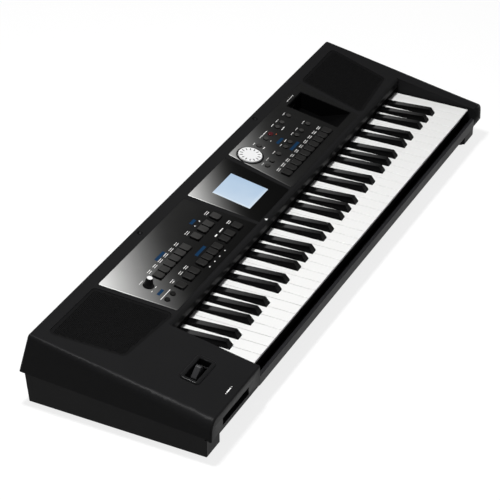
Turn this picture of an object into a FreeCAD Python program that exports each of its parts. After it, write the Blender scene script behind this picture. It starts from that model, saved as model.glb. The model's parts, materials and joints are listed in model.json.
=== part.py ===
"""Arranger keyboard with 61 keys: an assembly of separate pieces, in millimetres.

+X runs to the player's right, +Y to the back and +Z up. The origin lies under the middle of the case, on
the surface that the feet stand on. The top surface is one plane that tilts towards the player. Three frames
are used: the case's own, the panel's (x, up the slope, out of the surface) and the rear wall's (x, down the
wall, out of the wall).
"""
import FreeCAD, Part
import os
import re
import Sketcher
from FreeCAD import Placement, Rotation, Vector

SIZES = {
    # Case
    "case_width": 1044,
    "case_depth": 317,
    "case_wall": 4,
    "panel_height": 101.6,
    "panel_tilt": 9.93,
    "lip_front": 39.5,
    "lip_side": 43.8,
    "lip_step": 10.5,
    "lip_back": 59.8,
    "side_lean": 4.8,
    "side_round_front": 18,
    "side_round_back": 6,
    "front_round": 3.5,
    "back_round": 3.5,
    "least_round": 0.5,
    "overrun": 20,
    "sliding_gap": 0.3,
    # Key well
    "well_gap": 3,
    "well_wall": 4,
    "nose_round": 7,
    "passage_gap": 2.4,
    # Keys
    "cheek_left": 158.6,
    "cheek_right": 39.4,
    "key_top": 72.8,
    "key_depth": 12,
    "key_gap": 0.9,
    "key_tail": 7,
    "key_lip_depth": 5,
    "key_lip_thick": 2.6,
    "key_wall": 2,
    "sharp_rise": 10.2,
    "sharp_fall": 4.2,
    "sharp_width": 13,
    "sharp_top_width": 9.4,
    "sharp_slope": 6.3,
    "sharp_foot": 1,
    "sharp_gap": 1,
    "pair_shift": 2.5,
    "trio_shift": 3.5,
    "octaves": 5,
    "octave_whites": 7,
    "key_count": 61,
    "white_count": 36,
    "rod_diameter": 5,
    # Key bed
    "bed_height": 36,
    "bed_plate": 3,
    "bed_front_gap": 7,
    "bed_end": 14,
    "bed_shelf": 18,
    "rib_width": 4,
    "felt_height": 51.2,
    "felt_thick": 2.6,
    "contact_height": 45,
    "board_thick": 1.6,
    "dome_diameter": 8,
    "dome_height": 57,
    "strip_width": 18,
    "strip_thick": 3,
    "spring_bar": 9,
    "spring_height": 57,
    "spring_thick": 0.6,
    "spring_reach": 13,
    "spring_width": 5,
    # Key slip
    "slip_bottom": 37.5,
    "slip_top": 54.8,
    "slip_thick": 6,
    "slip_flange": 3,
    # Lower case
    "foot_height": 5.4,
    "tray_inset": 7,
    "tray_wall": 3,
    "tray_shoulder": 43,
    "tongue": 4,
    "runner_width": 41,
    "foot_diameter": 18,
    "foot_inset": 36,
    "post_diameter": 10,
    "post_joint": 30,
    "post_inset": 14,
    "screw_head": 6.4,
    "screw_head_thick": 2.6,
    "screw_shank": 3,
    "screw_length": 30,
    # Panels
    "panel_thick": 1.5,
    "panel_gap": 0.2,
    "panel_ledge": 6,
    "panel_corner": 3,
    # Speakers
    "grille_sink": 0.8,
    "grille_thick": 1.2,
    "grille_round": 9,
    "speaker_hole": 92,
    "speaker_flange": 104,
    "speaker_flange_thick": 4,
    "speaker_depth": 42,
    "magnet_diameter": 60,
    "magnet_depth": 16,
    "cone_deep": 20,
    "cone_neck": 26,
    "cone_thick": 1,
    # Buttons
    "button_rise": 3.5,
    "button_flange": 1.5,
    "button_overhang": 1.4,
    "button_gap": 0.4,
    "button_travel": 1.2,
    "round_diameter": 9,
    "round_rise": 2.2,
    # Rotary controls
    "dial_diameter": 40.5,
    "dial_lift": 1.2,
    "dial_rise": 5,
    "collar_diameter": 46.6,
    "collar_rise": 1.8,
    "knob_skirt": 18,
    "knob_skirt_rise": 2.2,
    "knob_diameter": 13.4,
    "knob_top": 9.4,
    "knob_rise": 15,
    "shaft_diameter": 6,
    "rotary_size": 14,
    "rotary_depth": 6.5,
    # Display
    "display_glass": 1.2,
    "display_margin": 5,
    "display_depth": 8,
    # Panel boards
    "switch_height": 8.5,
    "boss_diameter": 6,
    # Memory tray
    "memory_rim": 2,
    "memory_deep": 30,
    "memory_shallow": 2.5,
    "plug_width": 13.2,
    "plug_high": 6,
    "plug_deep": 15,
    "plug_bore_width": 12.2,
    "plug_bore_high": 4.8,
    # Bend lever
    "bend_half": 24,
    "bend_half_deep": 9.8,
    "bezel_rim": 6.5,
    "bezel_rise": 2.6,
    "bezel_wall": 1.6,
    "bezel_depth": 9,
    "pivot_drop": 24,
    "lever_half": 13,
    "lever_half_deep": 4.5,
    "lever_crown": 8,
    "lever_shoulder": 8,
    "lever_ridge": 2.2,
    "stem_half": 4,
    "ring_half": 10,
    "ring_half_deep": 9,
    "ring_wall": 3,
    "ring_thick": 8,
    "pin_diameter": 3,
    "pin_reach": 3.4,
    "base_wall": 3,
    "base_gap": 0.5,
    "base_drop": 12,
    # Music rest holes
    "rest_diameter": 6.5,
    "rest_depth": 22,
    "rest_wall": 2.5,
    # Front jack bay
    "bay_bottom": 46.5,
    "bay_top": 59.5,
    "bay_depth": 15,
    "bay_wall": 2.5,
    # Jacks and rear plate
    "jack_bore": 6.5,
    "jack_bush": 9,
    "jack_body": 16,
    "jack_length": 22,
    "jack_lip": 1.2,
    "rear_up_high": 47,
    "rear_up_low": 15,
    "rear_plate": 2,
    "rear_sink": 1.4,
    "rear_ledge": 4,
    "rear_line": 31,
    "output_count": 4,
    "host_width": 12,
    "host_high": 11,
    "host_length": 16,
    "host_bore": 8.4,
    "inlet_size": 14,
    "inlet_length": 15,
    "inlet_bore": 6.4,
    "inlet_pin": 2,
    "power_cap": 10,
    "power_rise": 4,
    "power_travel": 2.5,
    "power_body": 15,
    "power_length": 18,
    # Main board
    "main_height": 24,
}
# Places and spacings across the case, as shares of its width
WIDTH_SHARES = {
    # Lower case
    "post_middle": 0.31609,
    # Panels
    "panel_outer_back": 0.33659,
    "panel_outer_front": 0.31657,
    "panel_inner_back": 0.07471,
    "panel_inner_front": 0.06034,
    "middle_back": 0.06322,
    "middle_front": 0.05268,
    # Speakers
    "grille_outer_back": 0.47337,
    "grille_outer_front": 0.45067,
    "grille_inner_back": 0.34626,
    "grille_inner_front": 0.32567,
    "speaker_out": 0.40038,
    # Buttons
    "button_pitch": 0.01638,
    "button_width": 0.01561,
    "column_first": -0.26437,
    "column_pair": -0.23975,
    "column_four": -0.19875,
    "column_alone": -0.1478,
    "column_last_pair": -0.12577,
    "column_last": -0.08501,
    "tone_first": 0.09013,
    "round_pitch": 0.01667,
    "round_first": 0.08716,
    "round_alone": 0.12778,
    "round_pair": 0.15278,
    "round_next_pair": 0.19473,
    "round_last": 0.23611,
    "round_octave": -0.30479,
    # Rotary controls
    "dial_out": 0.09339,
    "knob_out": -0.29368,
    # Display
    "display_half": 0.03199,
    # Panel boards
    "board_left_outer": 0.3228,
    "board_inner": 0.06705,
    "board_right_outer": 0.2567,
    # Memory tray
    "memory_left": 0.26245,
    "memory_width": 0.05077,
    # Bend lever
    "bend_out": -0.41284,
    # Music rest holes
    "rest_out": 0.19253,
    # Front jack bay
    "bay_left": -0.46456,
    "bay_right": -0.38602,
    "phone_pitch": 0.03257,
    # Jacks and rear plate
    "rear_left": -0.08621,
    "rear_right": 0.18199,
    "output_first": 0.01916,
    "output_pitch": 0.0249,
    "host_out": 0.14176,
    "inlet_out": -0.02874,
    "power_out": -0.06322,
    # Main board
    "main_left": -0.08621,
    "main_right": 0.12452,
}
# Places and spacings from front to back, as shares of the case's depth
DEPTH_SHARES = {
    # Case
    "top_back_edge": 0.44953,
    # Key well
    "well_back": -0.03785,
    # Keys
    "key_front": -0.46309,
    "key_reach": 0.55142,
    "key_hollow": 0.31546,
    "sharp_setback": 0.1511,
    "sharp_length": 0.34069,
    # Key bed
    "contact_front": -0.12618,
    "contact_back": 0.03155,
    "dome_line": -0.05047,
    "spring_seat": 0.03785,
    # Lower case
    "tray_front_low": -0.37855,
    "tray_front_high": -0.46057,
    "tray_front_top": -0.44164,
    "tray_back_low": 0.46372,
    "tray_back_high": 0.48297,
    "runner_front": -0.46688,
    "foot_front": -0.42271,
    "foot_back": 0.37224,
    "post_front": -0.35331,
    "post_back": 0.38486,
    # Panels
    "panel_back": 0.3836,
    "panel_front": -0.00946,
    # Speakers
    "grille_back_out": 0.39306,
    "grille_back_in": 0.38801,
    "grille_front_out": 0.02397,
    "grille_front_in": -0.01388,
    "speaker_up": 0.20189,
    # Buttons
    "button_deep": 0.05174,
    "row_upper": 0.18454,
    "row_lower": 0.06341,
    "round_upper": 0.29085,
    "round_middle": 0.17382,
    "round_low": 0.06498,
    # Rotary controls
    "dial_up": 0.28738,
    "knob_up": 0.18801,
    # Display
    "display_front": 0.0795,
    "display_back": 0.29464,
    # Panel boards
    "board_front": 0.02839,
    "board_back": 0.35331,
    # Memory tray
    "memory_front": 0.04006,
    "memory_back": 0.33628,
    "memory_ramp_end": 0.19558,
    # Bend lever
    "bend_up": -0.29022,
    # Music rest holes
    "rest_up": 0.42271,
    # Main board
    "main_front": 0.24606,
    "main_back": 0.40379,
}

document = FreeCAD.newDocument("arranger_keyboard")
sheet = document.addObject("Spreadsheet::Sheet", "Sizes")
cells = SIZES | {f"{name}_share": share for name, share in (WIDTH_SHARES | DEPTH_SHARES).items()}
for row, (alias, number) in enumerate(cells.items(), start=1):
    sheet.set(f"A{row}", alias)
    sheet.set(f"B{row}", str(number))
    sheet.setAlias(f"B{row}", alias)
document.recompute()

# Lengths that several pieces share, as expressions on the sheet's cells
KEY_LEFT = "(cheek_left - case_width / 2)"
KEY_PITCH = "((case_width - cheek_left - cheek_right) / white_count)"
HALF_WIDTH = "(case_width / 2)"
HALF_DEPTH = "(case_depth / 2)"
TOP_BACK = "(panel_height + top_back_edge * tan(panel_tilt))"
WELL_LEFT = f"({KEY_LEFT} - well_gap)"
WELL_RIGHT = f"({KEY_LEFT} + white_count * {KEY_PITCH} + well_gap)"
KEY_BOTTOM = "(key_top - key_depth)"
SHARP_TOP = "(key_top + sharp_rise)"
PIVOT = "(key_front + key_reach)"
PIVOT_HEIGHT = "(key_top - key_depth / 2)"
OCTAVE = f"(octave_whites * {KEY_PITCH})"
BORE = "(rod_diameter + 2 * sliding_gap)"
NOSE_CORNER = "(panel_height + well_back * tan(panel_tilt))"
NOSE_RUN = "(nose_round * tan(45 - panel_tilt / 2))"
BED_TOP = "(bed_height + bed_plate)"
BED_FRONT = "(tray_front_top + bed_front_gap)"
KEY_SPACING = f"(white_count * {KEY_PITCH} / key_count)"
REAR_TILT = f"atan((case_depth / 2 - top_back_edge) / ({TOP_BACK} - lip_back))"
TRAY_HALF = "(case_width / 2 - tray_inset)"
FLOOR = "(foot_height + tray_wall)"
FLANGE_LOW = "(-panel_thick - sliding_gap - button_flange)"
BOARD_TOP = "(-panel_thick - sliding_gap - button_flange - button_travel - switch_height)"

finished = {}


def linked(text):
    """Turn a formula on size names into an expression on the sheet's cells."""
    def cell(word):
        name = word[0]
        if name in WIDTH_SHARES:
            return f"(Sizes.{name}_share * Sizes.case_width)"
        if name in DEPTH_SHARES:
            return f"(Sizes.{name}_share * Sizes.case_depth)"
        return f"Sizes.{name}" if name in SIZES else name
    return re.sub(r"[a-z][a-z_]*", cell, str(text))


def value(text):
    """Give a formula's number."""
    return float(sheet.evalExpression(linked(text)))


def bind(item, **formulas):
    """Tie properties of an item to formulas."""
    for name, formula in formulas.items():
        item.setExpression(name, linked(formula))
    return item


def place(item, x="0", y="0", z="0", frame="case"):
    """Put an item at a point of the case's, the panel's or the rear wall's frame."""
    if frame == "case":
        base, angle = (x, y, z), "0"
    elif frame == "panel":
        angle = "panel_tilt"
        base = (x, f"({y}) * cos(panel_tilt) - ({z}) * sin(panel_tilt)",
                f"panel_height + ({y}) * sin(panel_tilt) + ({z}) * cos(panel_tilt)")
    else:
        angle = f"{REAR_TILT} - 90 deg"
        base = (x, f"{HALF_DEPTH} + ({y}) * sin({REAR_TILT}) + ({z}) * cos({REAR_TILT})",
                f"lip_back - ({y}) * cos({REAR_TILT}) + ({z}) * sin({REAR_TILT})")
    item.Placement = Placement(Vector(), Rotation(Vector(1, 0, 0), 1))
    for axis, formula in zip("xyz", base):
        item.setExpression(f"Placement.Base.{axis}", linked(formula))
    item.setExpression("Placement.Rotation.Angle", linked(angle))
    return item


def block(name, x, y, z, frame="case"):
    """Make a box from pairs of low and high formulas."""
    item = document.addObject("Part::Box", name)
    bind(item, Length=f"({x[1]}) - ({x[0]})", Width=f"({y[1]}) - ({y[0]})", Height=f"({z[1]}) - ({z[0]})")
    return place(item, x[0], y[0], z[0], frame)


def rod(name, x, y, z, diameter, frame="case"):
    """Make a cylinder that stands along the frame's own Z, from z[0] to z[1]."""
    item = document.addObject("Part::Cylinder", name)
    bind(item, Radius=f"({diameter}) / 2", Height=f"({z[1]}) - ({z[0]})")
    return place(item, x, y, z[0], frame)


def fused(name, items):
    """Join items into one solid."""
    item = document.addObject("Part::MultiFuse", name)
    item.Shapes = items
    item.Refine = True
    return item


def cut(name, base, tools):
    """Cut one or more tools out of a base."""
    item = document.addObject("Part::Cut", name)
    item.Base = base
    item.Tool = tools[0] if len(tools) == 1 else fused(f"{name}_tools", tools)
    return item


def shared(name, base, tool):
    """Keep what a base and a tool have in common."""
    item = document.addObject("Part::Common", name)
    item.Base = base
    item.Tool = tool
    return item


def grouped(name, items):
    """Hold separate solids as one group."""
    item = document.addObject("Part::Compound", name)
    item.Links = items
    return item


def finish(label, item):
    """Name a sub-part."""
    item.Label = label
    finished[label] = item
    return item


def body_at(name, x="0", y="0", z="0", frame="case"):
    """Start a body at a point of a frame."""
    body = document.addObject("PartDesign::Body", name)
    body.AllowCompound = True
    return place(body, x, y, z, frame)


def origin_part(body, role):
    """Find one of a body's own planes or axes."""
    return next(item for item in body.Origin.OriginFeatures if item.Role == role)


def sketch_on(body, role):
    """Start a sketch on one of a body's origin planes."""
    sketch = body.newObject("Sketcher::SketchObject", f"{body.Name}_sketch")
    sketch.AttachmentSupport = [(origin_part(body, role), "")]
    sketch.MapMode = "FlatFace"
    return sketch


def tie(sketch, kind, geometry, point, formula):
    """Hold a point at a distance from the sketch's origin."""
    index = sketch.addConstraint(Sketcher.Constraint(kind, -1, 1, geometry, point, value(formula)))
    sketch.setExpression(f"Constraints[{index}]", linked(formula))


def outline(sketch, corners):
    """Draw a closed outline through corners given as pairs of formulas."""
    first, count = sketch.GeometryCount, len(corners)
    points = [Vector(value(x), value(y), 0) for x, y in corners]
    sketch.addGeometry([Part.LineSegment(a, b) for a, b in zip(points, points[1:] + points[:1])])
    for step in range(count):
        following = first + (step + 1) % count
        sketch.addConstraint(Sketcher.Constraint("Coincident", first + step, 2, following, 1))
    for step, (x, y) in enumerate(corners):
        tie(sketch, "DistanceX", first + step, 1, x)
        tie(sketch, "DistanceY", first + step, 1, y)
    return sketch


def rectangle(sketch, x, y):
    """Draw a rectangle from pairs of low and high formulas."""
    return outline(sketch, [(x[0], y[0]), (x[1], y[0]), (x[1], y[1]), (x[0], y[1])])


def ring(sketch, x, y, diameter):
    """Draw a circle."""
    circle = Part.Circle(Vector(value(x), value(y), 0), Vector(0, 0, 1), value(diameter) / 2)
    index = sketch.addGeometry(circle)
    tie(sketch, "DistanceX", index, 3, x)
    tie(sketch, "DistanceY", index, 3, y)
    size = sketch.addConstraint(Sketcher.Constraint("Diameter", index, value(diameter)))
    sketch.setExpression(f"Constraints[{size}]", linked(diameter))
    return sketch


def pad(body, sketch, length, side="One side", backwards=False):
    """Raise a sketch into a solid."""
    feature = body.newObject("PartDesign::Pad", f"{body.Name}_pad")
    feature.Profile = sketch
    feature.SideType = side
    feature.Reversed = backwards
    return bind(feature, Length=length)


def bore_through(body, sketch):
    """Cut a sketch through the whole body, both ways."""
    feature = body.newObject("PartDesign::Pocket", f"{body.Name}_pocket")
    feature.Profile = sketch
    feature.SideType = "Symmetric"
    feature.Type = "ThroughAll"
    return feature


def hollow(body, sketch, depth):
    """Cut a sketch into the body from below."""
    feature = body.newObject("PartDesign::Pocket", f"{body.Name}_hollow")
    feature.Profile = sketch
    feature.Reversed = True
    return bind(feature, Length=depth)


def turned(body, sketch):
    """Turn a sketch about the body's Z axis."""
    feature = body.newObject("PartDesign::Revolution", f"{body.Name}_turn")
    feature.Profile = sketch
    feature.ReferenceAxis = (origin_part(body, "Z_Axis"), [""])
    return feature


def repeat(body, features, span, count):
    """Repeat features along the body's X axis."""
    pattern = body.newObject("PartDesign::LinearPattern", f"{body.Name}_row")
    pattern.Originals = features
    pattern.Direction = (origin_part(body, "X_Axis"), [""])
    bind(pattern, Length=span, Occurrences=count)
    body.Tip = pattern
    return body


def edges_where(item, test):
    """List the numbers of an item's edges that pass a test on their two end points."""
    document.recompute()
    chosen = []
    for number, edge in enumerate(item.Shape.Edges, start=1):
        if len(edge.Vertexes) == 2 and test(*[vertex.Point for vertex in edge.Vertexes]):
            chosen.append(number)
    return chosen


def rounded(name, base, edges):
    """Round edges given as (number, radius at its start, radius at its end)."""
    item = document.addObject("Part::Fillet", name)
    item.Base = base
    item.Edges = edges
    return item


def round_uprights(body, radius):
    """Round the edges of a plate that stand square to it."""
    document.recompute()
    base, names = body.Tip, []
    for number, edge in enumerate(base.Shape.Edges, start=1):
        along = edge.tangentAt(edge.FirstParameter)
        if edge.Curve.TypeId == "Part::GeomLine" and abs(along.z) > abs(along.x) + abs(along.y):
            names.append(f"Edge{number}")
    feature = body.newObject("PartDesign::Fillet", f"{body.Name}_round")
    feature.Base = (base, names)
    return bind(feature, Radius=radius)


def close(first, second):
    """Say whether two lengths are the same."""
    return abs(first - second) < value("sliding_gap") / 10


def case_block(name, inset, bottom):
    """Make the case's outer form, or its hollow when inset by the wall, with its edges rounded."""
    drop = f"({inset}) / cos(panel_tilt)"
    front = f"-{HALF_DEPTH} + ({inset})"
    back = f"top_back_edge - ({inset})"
    top = f"panel_height - {drop}"
    body = body_at(name)
    outline(sketch_on(body, "YZ_Plane"), [
        (front, bottom["front"]),
        (f"{front} + lip_step", bottom["side"]),
        (f"{HALF_DEPTH} - ({inset})", bottom["back"]),
        (back, f"{top} + ({back}) * tan(panel_tilt)"),
        (front, f"{top} + ({front}) * tan(panel_tilt)"),
    ])
    pad(body, body.Group[-1], "case_width + 2 * overrun", side="Symmetric")
    sides_low, sides_high = "-2 * overrun", f"{TOP_BACK} + overrun"
    wide, narrow = [f"({HALF_WIDTH} - ({inset}) - ({z} - lip_front) * tan(side_lean))"
                    for z in (sides_low, sides_high)]
    lean = body_at(f"{name}_lean")
    pad(lean, outline(sketch_on(lean, "XZ_Plane"), [
        (f"-{wide}", sides_low), (wide, sides_low), (narrow, sides_high), (f"-{narrow}", sides_high),
    ]), "case_depth + 2 * overrun", side="Symmetric")
    body = shared(f"{name}_leaning", body, lean)
    front_y, back_y, thick = value(front), value(back), value(inset)

    def on_top(point):
        return close(point.z, value(top) + point.y * value("tan(panel_tilt)"))

    def on_side(point):
        reach = (point.z - value("lip_front")) * value("tan(side_lean)")
        return close(abs(point.x), value(f"{HALF_WIDTH} - ({inset})") - reach)

    def side_edge(a, b):
        return on_top(a) and on_top(b) and on_side(a) and on_side(b) and a.x * b.x > 0

    def radius(point):
        share = (point.y - front_y) / (back_y - front_y)
        full = value("side_round_front") * (1 - share) + value("side_round_back") * share
        return max(full - thick, value("least_round"))

    sides = []
    for number in edges_where(body, side_edge):
        edge = body.Shape.Edges[number - 1]
        ends = [edge.valueAt(edge.FirstParameter), edge.valueAt(edge.LastParameter)]
        sides.append((number, radius(ends[0]), radius(ends[1])))
    item = rounded(f"{name}_sides", body, sides)
    low = value(bottom["front"])
    small = max(value("front_round") - thick, value("least_round"))
    rims = edges_where(item, lambda a, b: close(a.y, front_y) and close(b.y, front_y)
                       and not (close(a.z, low) and close(b.z, low)))
    item = rounded(f"{name}_front", item, [(number, small, small) for number in rims])
    reach = value(f"{HALF_DEPTH} - ({inset})") - back_y
    rise = value(f"{top} + ({back}) * tan(panel_tilt)") - value(bottom["back"])

    def on_rear(point):
        return close(point.y, back_y + reach * (value(bottom["back"]) + rise - point.z) / rise)

    rear_low = value(bottom["back"])
    small = max(value("back_round") - thick, value("least_round"))
    rims = edges_where(item, lambda a, b: on_rear(a) and on_rear(b)
                       and not (close(a.z, rear_low) and close(b.z, rear_low)))
    return rounded(f"{name}_rear", item, [(number, small, small) for number in rims])


def panel_corners(side, grow):
    """Give the corners of the left (-1) or right (1) panel, grown all round."""
    corners = [
        (f"panel_outer_back + ({grow})", f"panel_back + ({grow})"),
        (f"panel_outer_front + ({grow})", f"panel_front - ({grow})"),
        (f"panel_inner_front - ({grow})", f"panel_front - ({grow})"),
        (f"panel_inner_back - ({grow})", f"panel_back + ({grow})"),
    ]
    return [(f"{side} * ({x})", y) for x, y in corners]


def middle_corners(grow):
    """Give the corners of the middle panel, grown all round."""
    return [
        (f"-middle_back - ({grow})", f"panel_back + ({grow})"),
        (f"-middle_front - ({grow})", f"panel_front - ({grow})"),
        (f"middle_front + ({grow})", f"panel_front - ({grow})"),
        (f"middle_back + ({grow})", f"panel_back + ({grow})"),
    ]


def grille_corners(side, grow):
    """Give the corners of a speaker grille, grown all round."""
    corners = [
        (f"grille_outer_back + ({grow})", f"grille_back_out + ({grow})"),
        (f"grille_outer_front + ({grow})", f"grille_front_out - ({grow})"),
        (f"grille_inner_front - ({grow})", f"grille_front_in - ({grow})"),
        (f"grille_inner_back - ({grow})", f"grille_back_in + ({grow})"),
    ]
    return [(f"{side} * ({x})", y) for x, y in corners]


def panel_plate(name, corners, low, high, radius=None):
    """Make a plate of the panel's frame between two levels."""
    body = body_at(name, z=low, frame="panel")
    pad(body, outline(sketch_on(body, "XY_Plane"), corners), f"({high}) - ({low})")
    if radius:
        round_uprights(body, radius)
    return body


# Mouldings of square buttons: row, first column and count
MOULDINGS = {
    "style_six": ("row_upper", "column_first", 6),
    "tempo_one": ("row_upper", "column_alone", 1),
    "tempo_two": ("row_upper", "column_last_pair", 2),
    "tempo_end": ("row_upper", "column_last", 1),
    "intro_one": ("row_lower", "column_first", 1),
    "intro_two": ("row_lower", "column_pair", 2),
    "variation_four": ("row_lower", "column_four", 4),
    "ending_two": ("row_lower", "column_last_pair", 2),
    "ending_one": ("row_lower", "column_last", 1),
    "tone_ten": ("row_lower", "tone_first", 10),
}
MOULDING_GROUPS = {
    "style_buttons": ["style_six"],
    "tempo_buttons": ["tempo_one", "tempo_two", "tempo_end"],
    "intro_buttons": ["intro_one", "intro_two"],
    "variation_buttons": ["variation_four"],
    "ending_buttons": ["ending_two", "ending_one"],
    "tone_buttons": ["tone_ten"],
}
ROUND_GROUPS = {
    "octave_buttons": [("round_octave", "round_low"), ("round_octave + round_pitch", "round_low")],
    "menu_buttons": [("round_alone", "round_upper"), ("round_pair", "round_upper"),
                     ("round_next_pair", "round_upper"), ("round_next_pair + round_pitch", "round_upper"),
                     ("round_last", "round_upper")],
    "record_button": [("round_pair + round_pitch", "round_upper")],
    "part_buttons": [("round_first", "round_middle"), ("round_first + round_pitch", "round_middle"),
                     ("round_alone", "round_middle"), ("round_pair", "round_middle"),
                     ("round_pair + round_pitch", "round_middle"), ("round_next_pair", "round_middle"),
                     ("round_next_pair + round_pitch", "round_middle"), ("round_last", "round_middle")],
}
LEFT_PANEL_GROUPS = ("style_buttons", "tempo_buttons", "intro_buttons", "variation_buttons",
                     "ending_buttons")


def moulding_span(first, count, grow):
    """Give the low and high x of a moulding's caps, grown at both ends."""
    last = f"({first}) + {count - 1} * button_pitch"
    return f"({first}) - button_width / 2 - ({grow})", f"{last} + button_width / 2 + ({grow})"


def moulding(name):
    """Make one strip of square buttons on its flange."""
    row, first, count = MOULDINGS[name]
    body = body_at(name, first, row, FLANGE_LOW, "panel")
    low, high = moulding_span("0", count, "button_overhang")
    deep = "button_deep / 2 + button_overhang"
    pad(body, rectangle(sketch_on(body, "XY_Plane"), (low, high), (f"-({deep})", deep)), "button_flange")
    cap = rectangle(sketch_on(body, "XY_Plane"), ("-button_width / 2", "button_width / 2"),
                    ("-button_deep / 2", "button_deep / 2"))
    top = pad(body, cap, f"button_rise - {FLANGE_LOW}")
    if count > 1:
        repeat(body, [top], f"{count - 1} * button_pitch", str(count))
    return body


def round_button(name, x, y):
    """Make one round button on its flange."""
    body = body_at(name, x, y, FLANGE_LOW, "panel")
    pad(body, ring(sketch_on(body, "XY_Plane"), "0", "0", "round_diameter + 2 * button_overhang"),
        "button_flange")
    pad(body, ring(sketch_on(body, "XY_Plane"), "0", "0", "round_diameter"), f"round_rise - {FLANGE_LOW}")
    return body


def make_buttons():
    """Make every group of buttons."""
    for label, names in MOULDING_GROUPS.items():
        bodies = [moulding(name) for name in names]
        finish(label, bodies[0] if len(bodies) == 1 else grouped(f"{label}_group", bodies))
    for label, places in ROUND_GROUPS.items():
        bodies = [round_button(f"{label}_{step}", x, y) for step, (x, y) in enumerate(places)]
        finish(label, bodies[0] if len(bodies) == 1 else grouped(f"{label}_group", bodies))


def button_holes(groups, rounds):
    """Make the cutters for the holes that groups of buttons come through."""
    tools = []
    for name in [name for group in groups for name in MOULDING_GROUPS[group]]:
        row, first, count = MOULDINGS[name]
        deep = "button_deep / 2 + button_gap"
        tools.append(block(f"{name}_hole", moulding_span(first, count, "button_gap"),
                           (f"{row} - ({deep})", f"{row} + {deep}"), ("-overrun", "overrun"), "panel"))
    for step, (x, y) in enumerate(place for group in rounds for place in ROUND_GROUPS[group]):
        tools.append(rod(f"{rounds[0]}_hole_{step}", x, y, ("-overrun", "overrun"),
                         "round_diameter + 2 * button_gap", "panel"))
    return tools


def shaft_hole(name, x, y):
    """Make the cutter for a rotary control's shaft."""
    return rod(name, x, y, ("-overrun", "overrun"), "shaft_diameter + 2 * button_gap", "panel")


def memory_space(name):
    """Make the cutter for the memory tray's opening."""
    grow = "memory_rim + panel_gap"
    return block(name, (f"memory_left - ({grow})", f"memory_left + memory_width + {grow}"),
                 (f"memory_front - ({grow})", f"memory_back + {grow}"), ("-overrun", "overrun"), "panel")


def make_panels():
    """Make the three panels that carry the controls."""
    left = panel_plate("left_plate", panel_corners(-1, "0"), "-panel_thick", "0", "panel_corner")
    holes = button_holes(LEFT_PANEL_GROUPS, ["octave_buttons"])
    finish("left_panel", cut("left_panel_cut", left,
                             holes + [shaft_hole("knob_hole", "knob_out", "knob_up")]))
    middle = panel_plate("middle_plate", middle_corners("0"), "-panel_thick", "0", "panel_corner")
    window = block("window_hole", ("-display_half - panel_gap", "display_half + panel_gap"),
                   ("display_front - panel_gap", "display_back + panel_gap"), ("-overrun",
                                                                               "overrun"), "panel")
    finish("middle_panel", cut("middle_panel_cut", middle, [window]))
    right = panel_plate("right_plate", panel_corners(1, "0"), "-panel_thick", "0", "panel_corner")
    holes = button_holes(["tone_buttons"], ["menu_buttons", "record_button", "part_buttons"])
    holes += [shaft_hole("dial_hole", "dial_out", "dial_up"), memory_space("memory_hole")]
    finish("right_panel", cut("right_panel_cut", right, holes))


def post_places():
    """Give the x and y of the six posts that the two cases meet at."""
    end = f"({HALF_WIDTH} - case_wall - post_inset)"
    return [(f"{side} * {x}", y) for side in (-1, 1)
            for x, y in ((end, "post_front"), (end, "post_back"), ("post_middle", "post_back"))]


def boss_places():
    """Give the x and y, on the panel, of the bosses that hold the two panel boards."""
    inner = "board_inner - boss_diameter / 2"
    return [
        ("-board_left_outer - boss_diameter / 2", "board_back"),
        (f"-({inner})", "board_back"),
        (f"-({inner})", "board_front"),
        ("-board_left_outer - boss_diameter / 2", "board_front"),
        (inner, "board_back"),
        (inner, "board_front"),
    ]


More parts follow.
